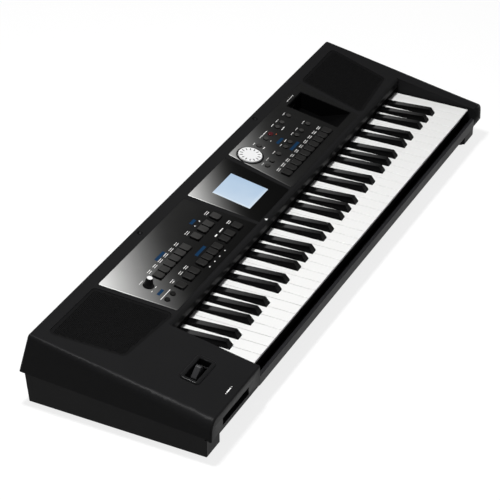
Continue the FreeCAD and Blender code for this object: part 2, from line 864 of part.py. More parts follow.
def make_top_case():
    """Make the upper case: a deck with the openings of its top, and a cheek at each end of the key well."""
    outer = case_block("case_outer", "0", {"front": "lip_front", "side": "lip_side", "back": "lip_back"})
    inner = case_block("case_inner", "case_wall",
                       {"front": "-overrun", "side": "-overrun", "back": "lip_back"})
    far_front = f"-{HALF_DEPTH} - overrun"
    walls = block("well_walls", (f"{WELL_LEFT} - well_wall", f"{WELL_RIGHT} + well_wall"),
                  (far_front, "well_back + well_wall"), ("-2 * overrun", f"{TOP_BACK} + overrun"))
    shell = cut("case_shell", outer, [cut("case_hollow", inner, [walls])])

    well = block("well", (WELL_LEFT, WELL_RIGHT), (far_front, "well_back"), ("0", f"{TOP_BACK} + overrun"))
    nose_z = f"({NOSE_CORNER} - {NOSE_RUN})"
    nose_y = "(well_back + nose_round)"
    nose_box = block("nose_box", (WELL_LEFT, WELL_RIGHT),
                     ("well_back", f"{nose_y} - nose_round * sin(panel_tilt)"), (nose_z,
                                                                                 f"{TOP_BACK} + overrun"))
    nose_bar = body_at("nose_bar", WELL_LEFT, nose_y, nose_z)
    pad(nose_bar, ring(sketch_on(nose_bar, "YZ_Plane"), "0", "0", "2 * nose_round"),
        f"{WELL_RIGHT} - {WELL_LEFT}")
    nose = cut("nose", nose_box, [nose_bar])
    passage = block("passage", (WELL_LEFT, WELL_RIGHT), ("well_back - overrun",
                                                         "well_back + well_wall + overrun"),
                    ("0", f"{SHARP_TOP} + passage_gap"))

    openings = []
    for name, corners in (("left", lambda grow: panel_corners(-1, grow)),
                          ("right", lambda grow: panel_corners(1, grow)), ("middle", middle_corners)):
        openings.append(panel_plate(f"{name}_recess", corners("panel_gap"), "-panel_thick", "overrun"))
        openings.append(panel_plate(f"{name}_opening", corners("-panel_ledge"), "-overrun", "overrun"))
    for side, name in ((-1, "left"), (1, "right")):
        openings.append(panel_plate(f"{name}_grille_recess", grille_corners(side, "panel_gap"),
                                    "-grille_sink - grille_thick", "overrun", "grille_round"))
        openings.append(rod(f"{name}_speaker_hole", f"{side} * speaker_out", "speaker_up",
                            ("-overrun", "overrun"),
                            "speaker_hole", "panel"))
        openings.append(rod(f"{name}_rest_hole", f"{side} * rest_out", "rest_up",
                            ("-rest_depth", "overrun"),
                            "rest_diameter", "panel"))
    openings.append(memory_space("memory_opening"))
    bend = block("bend_opening", ("bend_out - bend_half - bezel_wall - panel_gap",
                                  "bend_out + bend_half + bezel_wall + panel_gap"),
                 ("bend_up - bend_half_deep - bezel_wall - panel_gap",
                  "bend_up + bend_half_deep + bezel_wall + panel_gap"), ("-overrun", "overrun"), "panel")
    bay_back = f"-{HALF_DEPTH} + bay_depth"
    bay = block("bay_pocket", ("bay_left", "bay_right"), (far_front, bay_back), ("bay_bottom", "bay_top"))
    bores = [jack_bar(f"bay_bore_{step}", x, "jack_bush + 2 * panel_gap",
                      (far_front, f"{bay_back} + overrun"))
             for step, x in enumerate(phone_places())]
    rear = block("rear_opening", ("rear_left + rear_ledge", "rear_right - rear_ledge"),
                 ("-rear_up_high + rear_ledge", "-rear_up_low - rear_ledge"), ("-overrun",
                                                                               "overrun"), "rear")
    rear_recess = block("rear_recess", ("rear_left - panel_gap", "rear_right + panel_gap"),
                        ("-rear_up_high - panel_gap", "-rear_up_low + panel_gap"),
                        ("-rear_sink - rear_plate", "overrun"), "rear")

    bay_block = block("bay_block", ("bay_left - bay_wall", "bay_right + bay_wall"),
                      (f"-{HALF_DEPTH} + case_wall / 2", f"{bay_back} + bay_wall"),
                      ("bay_bottom - bay_wall", "bay_top + bay_wall"))
    sills = [block(f"sill_{step}", x, (f"-{HALF_DEPTH} + case_wall / 2",
                                       f"-{HALF_DEPTH} + lip_step + case_wall"),
                   ("lip_side", "lip_side + case_wall / 2"))
             for step, x in enumerate(((f"-{HALF_WIDTH} + case_wall / 2", f"{WELL_LEFT} - well_wall / 2"),
                                       (f"{WELL_RIGHT} + well_wall / 2", f"{HALF_WIDTH} - case_wall / 2")))]
    posts = [rod(f"top_post_{step}", x, y, ("post_joint", f"{TOP_BACK} + overrun"), "post_diameter")
             for step, (x, y) in enumerate(post_places())]
    reach = case_block("case_reach", "case_wall / 2", {"front": "0", "side": "0", "back": "lip_back"})
    top_posts = shared("top_posts", grouped("top_post_rods", posts), reach)
    pilots = [rod(f"top_pilot_{step}", x, y, ("0", f"{FLOOR} + screw_length"), "screw_shank")
              for step, (x, y) in enumerate(post_places())]
    bosses = [rod(f"boss_{step}", x, y, (BOARD_TOP, "-case_wall / 2 - panel_thick"), "boss_diameter",
                  "panel")
              for step, (x, y) in enumerate(boss_places())]
    sleeves = [rod(f"rest_sleeve_{side}", f"{side} * rest_out", "rest_up",
                   ("-rest_depth - rest_wall", "-case_wall / 2"),
                   "rest_diameter + 2 * rest_wall", "panel") for side in (-1, 1)]
    solid = fused("case_solid", [shell, bay_block, top_posts] + sills + bosses + sleeves)
    tools = [well, nose, passage, bend, bay, rear, rear_recess] + openings + bores + pilots
    whole = cut("upper_case", solid, tools)
    ends = block("cheek_reach", (f"-{HALF_WIDTH} - overrun", f"{HALF_WIDTH} + overrun"),
                 (far_front, "well_back"), ("0", f"{TOP_BACK} + overrun"))
    finish("top_case", cut("deck", whole, [ends]))
    finish("end_cheeks", shared("cheeks", whole, ends))


def phone_places():
    """Give the x of the two phone jacks in the front bay."""
    middle = "(bay_left + bay_right) / 2"
    return [f"{middle} - phone_pitch / 2", f"{middle} + phone_pitch / 2"]


def jack_bar(name, x, diameter, y):
    """Make a cylinder along the case's Y at the front bay's middle height."""
    body = body_at(name, x, y[0], "(bay_bottom + bay_top) / 2")
    pad(body, ring(sketch_on(body, "XZ_Plane"), "0", "0", diameter), f"({y[1]}) - ({y[0]})", backwards=True)
    return body


def tray_profile(inset):
    """Give the side outline of the lower case, inset by its wall when hollow."""
    lip = "(lip_back - lip_side) / (case_depth - lip_step)"
    back_lip = f"lip_side + {lip} * (tray_back_high + {HALF_DEPTH} - lip_step)"
    if inset:
        return [
            ("tray_front_low + tray_wall", FLOOR),
            ("tray_front_high + tray_wall", "slip_bottom"),
            ("tray_front_top + tray_wall", "tray_shoulder + overrun"),
            ("tray_back_high - tray_wall", f"{back_lip} + overrun"),
            ("tray_back_low - tray_wall", FLOOR),
        ]
    return [
        ("tray_front_low", "foot_height"),
        ("tray_front_high", "slip_bottom"),
        ("tray_front_top", "tray_shoulder"),
        ("tray_back_high", f"{back_lip} + tongue"),
        ("tray_back_low", "foot_height"),
    ]


def make_bottom_case():
    """Make the lower case: a tray with a runner at each end and the posts for the screws."""
    outer = body_at("tray_outer")
    pad(outer, outline(sketch_on(outer, "YZ_Plane"), tray_profile(False)), f"2 * {TRAY_HALF}",
        side="Symmetric")
    inner = body_at("tray_inner")
    pad(inner, outline(sketch_on(inner, "YZ_Plane"), tray_profile(True)), f"2 * ({TRAY_HALF} - tray_wall)",
        side="Symmetric")
    tray = cut("tray_shell", outer, [inner])
    runners, hollows = [], []
    for side in (-1, 1):
        ends = (f"{TRAY_HALF} - runner_width", TRAY_HALF)
        name = "left" if side < 0 else "right"
        runner = body_at(f"{name}_runner", f"{side} * ({ends[0]} + {ends[1]}) / 2")
        pad(runner, outline(sketch_on(runner, "YZ_Plane"), [
            ("runner_front", "foot_height"),
            ("runner_front", "lip_front - tongue"),
            ("tray_front_high + tray_wall", "lip_front - tongue"),
            ("tray_front_low + tray_wall", "foot_height"),
        ]), "runner_width", side="Symmetric")
        runners.append(runner)
    posts = [rod(f"tray_post_{step}", x, y, ("foot_height", "post_joint"), "post_diameter")
             for step, (x, y) in enumerate(post_places())]
    bed_posts = [rod(f"bed_post_{step}", x, y, ("foot_height", "bed_height"), "post_diameter")
                 for step, (x, y) in enumerate(bed_post_places())]
    main_posts = [rod(f"main_post_{step}", x, y, ("foot_height", "main_height"), "post_diameter")
                  for step, (x, y) in enumerate(main_post_places())]
    for step, (x, y) in enumerate(post_places() + bed_post_places()):
        hollows.append(rod(f"screw_way_{step}", x, y, ("0", "bed_height + overrun"),
                           "screw_shank + 2 * panel_gap"))
        hollows.append(rod(f"head_way_{step}", x, y, ("0", "foot_height + screw_head_thick"),
                           "screw_head + 2 * panel_gap"))
    finish("bottom_case", cut("bottom_case_cut",
                              fused("tray_solid", [tray] + runners + posts + bed_posts + main_posts),
                              hollows))


def bed_post_places():
    """Give the x and y of the four posts under the key bed."""
    left, right = f"({WELL_LEFT} + post_inset)", f"({WELL_RIGHT} - post_inset)"
    return [(x, y) for x in (left, right) for y in ("post_front", f"({PIVOT} - post_inset)")]


def main_post_places():
    """Give the x and y of the four posts under the main board."""
    inset = "post_diameter / 2"
    return [(x, y) for x in (f"main_left + {inset}", f"main_right - {inset}")
            for y in (f"main_front + {inset}", f"main_back - {inset}")]


def make_fasteners():
    """Make the screws of the underside and the four feet."""
    screws = []
    for step, (x, y) in enumerate(post_places() + bed_post_places()):
        body = body_at(f"screw_{step}", x, y, "foot_height")
        pad(body, ring(sketch_on(body, "XY_Plane"), "0", "0", "screw_head"), "screw_head_thick")
        pad(body, ring(sketch_on(body, "XY_Plane"), "0", "0", "screw_shank"), "screw_length")
        screws.append(body)
    finish("case_screws", grouped("screw_group", screws))
    feet = []
    for step, (side, y) in enumerate((side, y) for side in (-1, 1) for y in ("foot_front", "foot_back")):
        body = body_at(f"foot_{step}", f"{side} * ({HALF_WIDTH} - foot_inset)", y)
        pad(body, ring(sketch_on(body, "XY_Plane"), "0", "0", "foot_diameter"), "foot_height")
        feet.append(body)
    finish("rubber_feet", grouped("foot_group", feet))


# White keys: label, place in the octave, and the shift of the sharp on each side where there is one
WHITE_KEYS = {
    "key_c": (0, None, "-pair_shift"),
    "key_d": (1, "-pair_shift", "pair_shift"),
    "key_e": (2, "pair_shift", None),
    "key_f": (3, None, "-trio_shift"),
    "key_g": (4, "-trio_shift", "0"),
    "key_a": (5, "0", "trio_shift"),
    "key_b": (6, "trio_shift", None),
}
# Sharps: label, the white boundary that each stands over, and its shift from there
SHARP_KEYS = {
    "key_c_sharp": (1, "-pair_shift"),
    "key_d_sharp": (2, "pair_shift"),
    "key_f_sharp": (4, "-trio_shift"),
    "key_g_sharp": (5, "0"),
    "key_a_sharp": (6, "trio_shift"),
}


def white_key(name, index, left, right):
    """Make one white key with the notches of its neighbours and a bore for the pivot rod."""
    body = body_at(name, f"{KEY_LEFT} + ({index}) * {KEY_PITCH}", "key_front", KEY_BOTTOM)
    near, far = "key_gap / 2", f"{KEY_PITCH} - key_gap / 2"
    notch, tail = "sharp_setback - sharp_gap", "key_reach + key_tail"
    half = "sharp_width / 2 + sharp_gap"
    corners = [(near, "0"), (far, "0")]
    if right is None:
        corners.append((far, tail))
    else:
        inner = f"{KEY_PITCH} + ({right}) - ({half})"
        corners += [(far, notch), (inner, notch), (inner, tail)]
    if left is None:
        corners.append((near, tail))
    else:
        inner = f"({left}) + {half}"
        corners += [(inner, tail), (inner, notch), (near, notch)]
    top = pad(body, outline(sketch_on(body, "XY_Plane"), corners), "key_depth")
    side = rectangle(sketch_on(body, "YZ_Plane"), ("-overrun", "key_lip_depth"),
                     ("-overrun", "key_depth - key_lip_thick"))
    ring(side, "key_reach", "key_depth / 2", BORE)
    left_wall = near if left is None else f"({left}) + {half}"
    right_wall = far if right is None else f"{KEY_PITCH} + ({right}) - ({half})"
    under = rectangle(sketch_on(body, "XY_Plane"), (f"{left_wall} + key_wall", f"{right_wall} - key_wall"),
                      ("key_lip_depth + key_wall", "key_hollow"))
    return body, [top, bore_through(body, side), hollow(body, under, "key_depth - key_wall")]


def sharp_key(name, boundary, shift):
    """Make one black key: a tapered bar that falls to the back, with a sloped front and a pivot bore."""
    body = body_at(name, f"{KEY_LEFT} + {boundary} * {KEY_PITCH} + ({shift})", "key_front + sharp_setback",
                   KEY_BOTTOM)
    half, top_half, crest = "sharp_width / 2", "sharp_top_width / 2", "key_depth + sharp_rise"
    section = outline(sketch_on(body, "XZ_Plane"), [
        (f"-{half}", "0"), (half, "0"), (half, "key_depth + sharp_foot"), (top_half, crest),
        (f"-{top_half}", crest), (f"-{half}", "key_depth + sharp_foot"),
    ])
    bar = pad(body, section, "key_reach + key_tail - sharp_setback", backwards=True)
    side = outline(sketch_on(body, "YZ_Plane"), [
        ("-overrun", "key_depth + sharp_foot"), ("0", "key_depth + sharp_foot"), ("sharp_slope", crest),
        ("sharp_length", f"{crest} - (sharp_length - sharp_slope) * tan(sharp_fall)"),
        ("sharp_length", "key_depth"), ("key_reach + overrun", "key_depth"),
        ("key_reach + overrun", f"{crest} + overrun"), ("-overrun", f"{crest} + overrun"),
    ])
    ring(side, "key_reach - sharp_setback", "key_depth / 2", BORE)
    return body, [bar, bore_through(body, side)]


def make_keys():
    """Make the 61 keys, one group for each note of the octave."""
    span = f"{OCTAVE} * (octaves - 1)"
    for label, (index, left, right) in WHITE_KEYS.items():
        body, features = white_key(f"{label}_row", index, left, right)
        repeat(body, features, span, "octaves")
        if index:
            finish(label, body)
        else:
            last, _ = white_key(f"{label}_last", "white_count - 1", None, None)
            finish(label, grouped(f"{label}_group", [body, last]))
    for label, (boundary, shift) in SHARP_KEYS.items():
        body, features = sharp_key(f"{label}_row", boundary, shift)
        finish(label, repeat(body, features, span, "octaves"))


def make_key_bed():
    """Make what carries the keys and what they press on."""
    left, right = f"{WELL_LEFT} - bed_end", f"{WELL_RIGHT} + bed_end"
    in_left, in_right = f"{WELL_LEFT} + sliding_gap", f"{WELL_RIGHT} - sliding_gap"
    back = f"{PIVOT} + key_tail"
    plate = block("bed_plate_front", (in_left, in_right), (BED_FRONT, "well_back + well_wall"),
                  ("bed_height", BED_TOP))
    rear = block("bed_plate_rear", (left, right), ("well_back + well_wall + sliding_gap", back),
                 ("bed_height", BED_TOP))
    bridge = block("bed_bridge", (in_left, in_right), ("well_back", "well_back + 2 * well_wall"),
                   ("bed_height", BED_TOP))
    shelf = block("bed_shelf_bar", (in_left, in_right), (BED_FRONT, f"{BED_FRONT} + bed_shelf"),
                  ("bed_height", "felt_height - felt_thick"))
    ribs = [block(f"bed_rib_{step}", (in_left, in_right), (y, f"{y} + rib_width"),
                  ("bed_height", "contact_height"))
            for step, y in enumerate(("contact_front", "contact_back - rib_width"))]
    seat = block("spring_rib", (in_left, in_right), ("spring_seat", "spring_seat + spring_bar"),
                 ("bed_height", "spring_height"))
    towers = [block(f"rod_tower_{step}", x, (f"{PIVOT} - key_tail", back),
                    ("bed_height", f"{PIVOT_HEIGHT} + rod_diameter"))
              for step, x in enumerate(((left, f"{WELL_LEFT}"), (WELL_RIGHT, right)))]
    rod_way = body_at("rod_way", left, PIVOT, PIVOT_HEIGHT)
    pad(rod_way, ring(sketch_on(rod_way, "YZ_Plane"), "0", "0", "rod_diameter"), f"({right}) - ({left})")
    screw_ways = [rod(f"bed_way_{step}", x, y, ("0", f"{BED_TOP} + overrun"), "screw_shank + 2 * panel_gap")
                  for step, (x, y) in enumerate(bed_post_places())]
    solid = fused("bed_solid", [plate, rear, bridge, shelf, seat] + ribs + towers)
    finish("keybed_frame", cut("keybed_cut", solid, [rod_way] + screw_ways))

    pivot = body_at("pivot", left, PIVOT, PIVOT_HEIGHT)
    pad(pivot, ring(sketch_on(pivot, "YZ_Plane"), "0", "0", "rod_diameter"), f"({right}) - ({left})")
    finish("key_pivot_rod", pivot)

    finish("key_felt", block("felt", (in_left, in_right), (BED_FRONT, f"{BED_FRONT} + bed_shelf"),
                             ("felt_height - felt_thick", "felt_height")))
    finish("contact_board", block("contact_plate", (in_left, in_right), ("contact_front", "contact_back"),
                                  ("contact_height", "contact_height + board_thick")))

    first = f"{KEY_LEFT} + {KEY_SPACING} / 2"
    strip = body_at("dome_strip", first, "dome_line", "contact_height + board_thick")
    ends = (f"-{KEY_SPACING} / 2", f"(key_count - 0.5) * {KEY_SPACING}")
    pad(strip, rectangle(sketch_on(strip, "XY_Plane"), ends, ("-strip_width / 2", "strip_width / 2")),
        "strip_thick")
    dome = pad(strip, ring(sketch_on(strip, "XY_Plane"), "0", "0", "dome_diameter"),
               "dome_height - contact_height - board_thick")
    finish("contact_rubber", repeat(strip, [dome], f"(key_count - 1) * {KEY_SPACING}", "key_count"))

    comb = body_at("comb", first, "spring_seat", "spring_height")
    pad(comb, rectangle(sketch_on(comb, "XY_Plane"), ends, ("0", "spring_bar")), "spring_thick")
    tongue = pad(comb, rectangle(sketch_on(comb, "XY_Plane"), ("-spring_width / 2", "spring_width / 2"),
                                 ("-spring_reach", "spring_bar")), "spring_thick")
    finish("key_springs", repeat(comb, [tongue], f"(key_count - 1) * {KEY_SPACING}", "key_count"))


def make_key_slip():
    """Make the rail in front of the keys."""
    body = body_at("slip", f"{WELL_LEFT} + panel_gap", f"-{HALF_DEPTH}")
    reach = f"{HALF_DEPTH} + tray_front_high - sliding_gap"
    pad(body, outline(sketch_on(body, "YZ_Plane"), [
        ("0", "slip_bottom"), (reach, "slip_bottom"), (reach, "slip_bottom + slip_flange"),
        ("slip_thick", "slip_bottom + slip_flange"), ("slip_thick", "slip_top"), ("0", "slip_top"),
    ]), f"{WELL_RIGHT} - {WELL_LEFT} - 2 * panel_gap")
    finish("key_slip", body)


def make_display():
    """Make the display's window and the module behind it."""
    across = ("-display_half", "display_half")
    finish("display_window", block("window", across, ("display_front", "display_back"),
                                   ("-display_glass", "0"), "panel"))
    grow = "display_margin"
    low = "(-panel_thick - sliding_gap)"
    module = block("module", (f"-display_half - {grow}", f"display_half + {grow}"),
                   (f"display_front - {grow}", f"display_back + {grow}"), (f"{low} - display_depth",
                                                                           low), "panel")
    finish("display_module", module)


def make_speakers():
    """Make the two grilles and, under them, the speakers' frames and cones."""
    grilles, frames, cones = [], [], []
    for side, name in ((-1, "left"), (1, "right")):
        grilles.append(panel_plate(f"{name}_grille", grille_corners(side, "0"),
                                   "-grille_sink - grille_thick",
                                   "-grille_sink", "grille_round"))
        x = f"{side} * speaker_out"
        basket = body_at(f"{name}_basket", x, "speaker_up", "-case_wall", "panel")
        hole, flange = "speaker_hole / 2", "speaker_flange / 2"
        waist, floor = "magnet_diameter / 2", "magnet_depth - speaker_depth"
        outline(sketch_on(basket, "XZ_Plane"), [
            (hole, "0"), (flange, "0"), (flange, "-speaker_flange_thick"), (hole, "-speaker_flange_thick"),
            (waist, floor), (waist, "-speaker_depth"), ("0", "-speaker_depth"), ("0", floor),
            (f"{waist} - speaker_flange_thick", floor), (f"{hole} - speaker_flange_thick",
                                                         "-speaker_flange_thick"),
            (f"{hole} - speaker_flange_thick", "0"),
        ])
        turned(basket, basket.Group[-1])
        frames.append(basket)
        cone = body_at(f"{name}_cone", x, "speaker_up", "-case_wall", "panel")
        rim = f"{hole} - speaker_flange_thick - sliding_gap"
        outline(sketch_on(cone, "XZ_Plane"), [
            (rim, "0"), ("cone_neck / 2", "-cone_deep"), ("0", "-cone_deep + cone_thick"),
            ("0", "-cone_deep + 3 * cone_thick"), ("cone_neck / 2", "-cone_deep + 2 * cone_thick"),
            (f"{rim} - 3 * cone_thick", "0"),
        ])
        turned(cone, cone.Group[-1])
        cones.append(cone)
    finish("speaker_grilles", grouped("grille_group", grilles))
    finish("speaker_frames", grouped("frame_group", frames))
    finish("speaker_cones", grouped("cone_group", cones))


def make_rotary_controls():
    """Make the value dial with its collar, the volume knob and the two control bodies."""
    collar = body_at("collar", "dial_out", "dial_up", frame="panel")
    ring(ring(sketch_on(collar, "XY_Plane"), "0", "0", "collar_diameter"), "0", "0",
         "dial_diameter + 2 * button_gap")
    pad(collar, collar.Group[-1], "collar_rise")
    finish("dial_collar", collar)

    control_top = f"{BOARD_TOP} + rotary_depth"
    dial = body_at("dial", "dial_out", "dial_up", f"{control_top} + sliding_gap", "panel")
    lift = f"(dial_lift - ({control_top}) - sliding_gap)"
    outline(sketch_on(dial, "XZ_Plane"), [
        ("0", "0"), ("shaft_diameter / 2", "0"), ("shaft_diameter / 2", lift), ("dial_diameter / 2", lift),
        ("dial_diameter / 2", f"{lift} + dial_rise - dial_lift"), ("0", f"{lift} + dial_rise - dial_lift"),
    ])
    turned(dial, dial.Group[-1])
    finish("value_dial", dial)

    knob = body_at("knob", "knob_out", "knob_up", f"{control_top} + sliding_gap", "panel")
    foot = f"(sliding_gap - ({control_top}) - sliding_gap)"
    skirt, barrel, crown = "knob_skirt / 2", "knob_diameter / 2", "knob_top / 2"
    outline(sketch_on(knob, "XZ_Plane"), [
        ("0", "0"), ("shaft_diameter / 2", "0"), ("shaft_diameter / 2", foot), (skirt, foot),
        (skirt, f"{foot} + knob_skirt_rise / 2"), (barrel, f"{foot} + knob_skirt_rise"),
        (crown, f"{foot} + knob_rise"), ("0", f"{foot} + knob_rise"),
    ])
    turned(knob, knob.Group[-1])
    finish("volume_knob", knob)

    controls = []
    for name, x, y in (("encoder", "dial_out", "dial_up"), ("potentiometer", "knob_out", "knob_up")):
        half = "rotary_size / 2"
        controls.append(block(name, (f"{x} - {half}", f"{x} + {half}"), (f"{y} - {half}", f"{y} + {half}"),
                              (BOARD_TOP, control_top), "panel"))
    finish("rotary_bodies", grouped("rotary_group", controls))


def make_boards():
    """Make the two panel boards and the main board."""
    low = f"{BOARD_TOP} - board_thick"
    left = block("left_board", ("-board_left_outer - boss_diameter", "-board_inner + boss_diameter"),
                 ("board_front - boss_diameter / 2", "board_back + boss_diameter / 2"), (low,
                                                                                         BOARD_TOP), "panel")
    right = block("right_board", ("board_inner - boss_diameter", "board_right_outer"),
                  ("board_front - boss_diameter / 2", "board_back + boss_diameter / 2"), (low,
                                                                                          BOARD_TOP), "panel")
    finish("panel_boards", grouped("panel_board_group", [left, right]))
    finish("main_board", block("main_plate", ("main_left", "main_right"), ("main_front", "main_back"),
                               ("main_height", "main_height + board_thick")))


def make_memory_tray():
    """Make the recess for a memory stick, with a ramp for a floor and the socket in its back wall."""
    rim = "memory_rim"
    body = body_at("tray", "(memory_left + memory_width / 2)", frame="panel")
    front, back = f"(memory_front - {rim})", f"(memory_back + {rim})"
    outline(sketch_on(body, "YZ_Plane"), [
        (front, "0"), (front, f"-memory_shallow - {rim}"), ("memory_ramp_end", f"-memory_deep - {rim}"),
        (back, f"-memory_deep - {rim}"), (back, "0"),
    ])
    pad(body, body.Group[-1], f"memory_width + 2 * {rim}", side="Symmetric")
    hollow = body_at("tray_space", "(memory_left + memory_width / 2)", frame="panel")
    outline(sketch_on(hollow, "YZ_Plane"), [
        ("memory_front", "overrun"), ("memory_front", "-memory_shallow"), ("memory_ramp_end",
                                                                           "-memory_deep"),
        ("memory_back", "-memory_deep"), ("memory_back", "overrun"),
    ])
    pad(hollow, hollow.Group[-1], "memory_width", side="Symmetric")
    middle = "(memory_left + memory_width / 2)"
    level = "-memory_deep / 2"
    way = block("socket_way", (f"{middle} - plug_width / 2", f"{middle} + plug_width / 2"),
                ("memory_back - overrun", "memory_back + overrun"), (f"{level} - plug_high / 2",
                                                                     f"{level} + plug_high / 2"),
                "panel")
    finish("memory_tray", cut("memory_tray_cut", body, [hollow, way]))
    shell = block("socket_shell", (f"{middle} - plug_width / 2 + panel_gap",
                                   f"{middle} + plug_width / 2 - panel_gap"),
                  ("memory_back", "memory_back + plug_deep"),
                  (f"{level} - plug_high / 2 + panel_gap", f"{level} + plug_high / 2 - panel_gap"), "panel")
    bore = block("socket_bore", (f"{middle} - plug_bore_width / 2", f"{middle} + plug_bore_width / 2"),
                 ("memory_back - overrun", f"memory_back + plug_deep - {rim}"),
                 (f"{level} - plug_bore_high / 2", f"{level} + plug_bore_high / 2"), "panel")
    finish("usb_socket", cut("usb_socket_cut", shell, [bore]))


def make_bend_lever():
    """Make the bend lever: a bezel, a base, a ring that swings sideways and a lever that tips in it."""
    x, y = "bend_out", "bend_up"
    bezel = body_at("bezel", x, y, frame="panel")
    out, out_deep = "(bend_half + bezel_rim)", "(bend_half_deep + bezel_rim)"
    pad(bezel, rectangle(sketch_on(bezel, "XY_Plane"), (f"-{out}", out), (f"-{out_deep}", out_deep)),
        "bezel_rise")
    round_uprights(bezel, "bezel_rim")
    wall, wall_deep = "(bend_half + bezel_wall)", "(bend_half_deep + bezel_wall)"
    pad(bezel, rectangle(sketch_on(bezel, "XY_Plane"), (f"-{wall}", wall), (f"-{wall_deep}", wall_deep)),
        "bezel_depth", backwards=True)
    bore_through(bezel, rectangle(sketch_on(bezel, "XY_Plane"), ("-bend_half", "bend_half"),
                                  ("-bend_half_deep", "bend_half_deep")))
    finish("bender_bezel", bezel)

    pivot = "-pivot_drop"
    reach = "(ring_half_deep + base_gap + base_wall)"
    floor = f"({pivot} - base_drop)"
    base_x = (f"{x} - ring_half", f"{x} + ring_half")
    legs = [block(f"bender_leg_{step}", (f"{x} - bend_half - bezel_wall", f"{x} + bend_half + bezel_wall"),
                  (f"{y} + {low}", f"{y} + {high}"), (floor, "-case_wall"), "panel")
            for step, (low, high) in enumerate(((f"-{reach}", "-ring_half_deep - base_gap"),
                                                ("ring_half_deep + base_gap", reach)))]
    slab = block("bender_slab", base_x, (f"{y} - {reach}", f"{y} + {reach}"),
                 (f"{floor} - base_wall", floor), "panel")
    space = block("bender_space", (f"{x} - bend_half - bezel_wall - panel_gap",
                                   f"{x} + bend_half + bezel_wall + panel_gap"),
                  (f"{y} - bend_half_deep - bezel_wall - panel_gap",
                   f"{y} + bend_half_deep + bezel_wall + panel_gap"),
                  ("-bezel_depth - panel_gap", "overrun"), "panel")
    pin_way = panel_pin("bend_pin_way", x, f"{y} - {reach} - overrun", pivot,
                        "pin_diameter + 2 * sliding_gap",
                        f"2 * ({reach} + overrun)")
    finish("bender_base", cut("bender_base_cut", fused("bender_base_solid", legs + [slab]),
                              [space, pin_way]))

    hole, hole_deep = "(ring_half - ring_wall)", "(ring_half_deep - ring_wall)"
    yoke = body_at("yoke", x, y, f"{pivot} - ring_thick / 2", "panel")
    frame = rectangle(sketch_on(yoke, "XY_Plane"), ("-ring_half", "ring_half"),
                      ("-ring_half_deep", "ring_half_deep"))
    rectangle(frame, (f"-{hole}", hole), (f"-{hole_deep}", hole_deep))
    pad(yoke, frame, "ring_thick")
    stubs = [panel_pin(f"bend_stub_{step}", x, f"{y} + ({start})", pivot, "pin_diameter",
                       "pin_reach + ring_wall / 2")
             for step, start in enumerate(("-ring_half_deep - pin_reach",
                                           "ring_half_deep - ring_wall / 2"))]
    cross = body_at("bend_cross", f"{x} - ring_half", y, pivot, "panel")
    pad(cross, ring(sketch_on(cross, "YZ_Plane"), "0", "0", "pin_diameter"), "2 * ring_half")
    finish("bend_yoke", fused("bend_yoke_solid", [yoke, cross] + stubs))

    lever = body_at("lever", x, y, pivot, "panel")
    neck, crown = "(pivot_drop - lever_shoulder)", "(pivot_drop + lever_crown)"
    section = outline(sketch_on(lever, "XZ_Plane"), [
        ("-stem_half", "-ring_thick"), ("stem_half", "-ring_thick"), ("stem_half", neck), ("lever_half",
                                                                                           neck),
        ("lever_half", f"{neck} + lever_ridge"), ("lever_ridge", crown), ("-lever_ridge", crown),
        ("-lever_half", f"{neck} + lever_ridge"), ("-lever_half", neck), ("-stem_half", neck),
    ])
    pad(lever, section, "2 * lever_half_deep", side="Symmetric")
    slim = rectangle(sketch_on(lever, "YZ_Plane"), ("stem_half", "lever_half_deep + overrun"),
                     ("-ring_thick - overrun", f"{neck} - ring_thick / 2"))
    rectangle(slim, ("-lever_half_deep - overrun", "-stem_half"),
              ("-ring_thick - overrun", f"{neck} - ring_thick / 2"))
    ring(slim, "0", "0", "pin_diameter + 2 * sliding_gap")
    bore_through(lever, slim)
    finish("bend_lever", lever)


def panel_pin(name, x, y, z, diameter, length):
    """Make a pin along the panel's slope."""
    body = body_at(name, x, y, z, "panel")
    pad(body, ring(sketch_on(body, "XZ_Plane"), "0", "0", diameter), length, backwards=True)
    return body


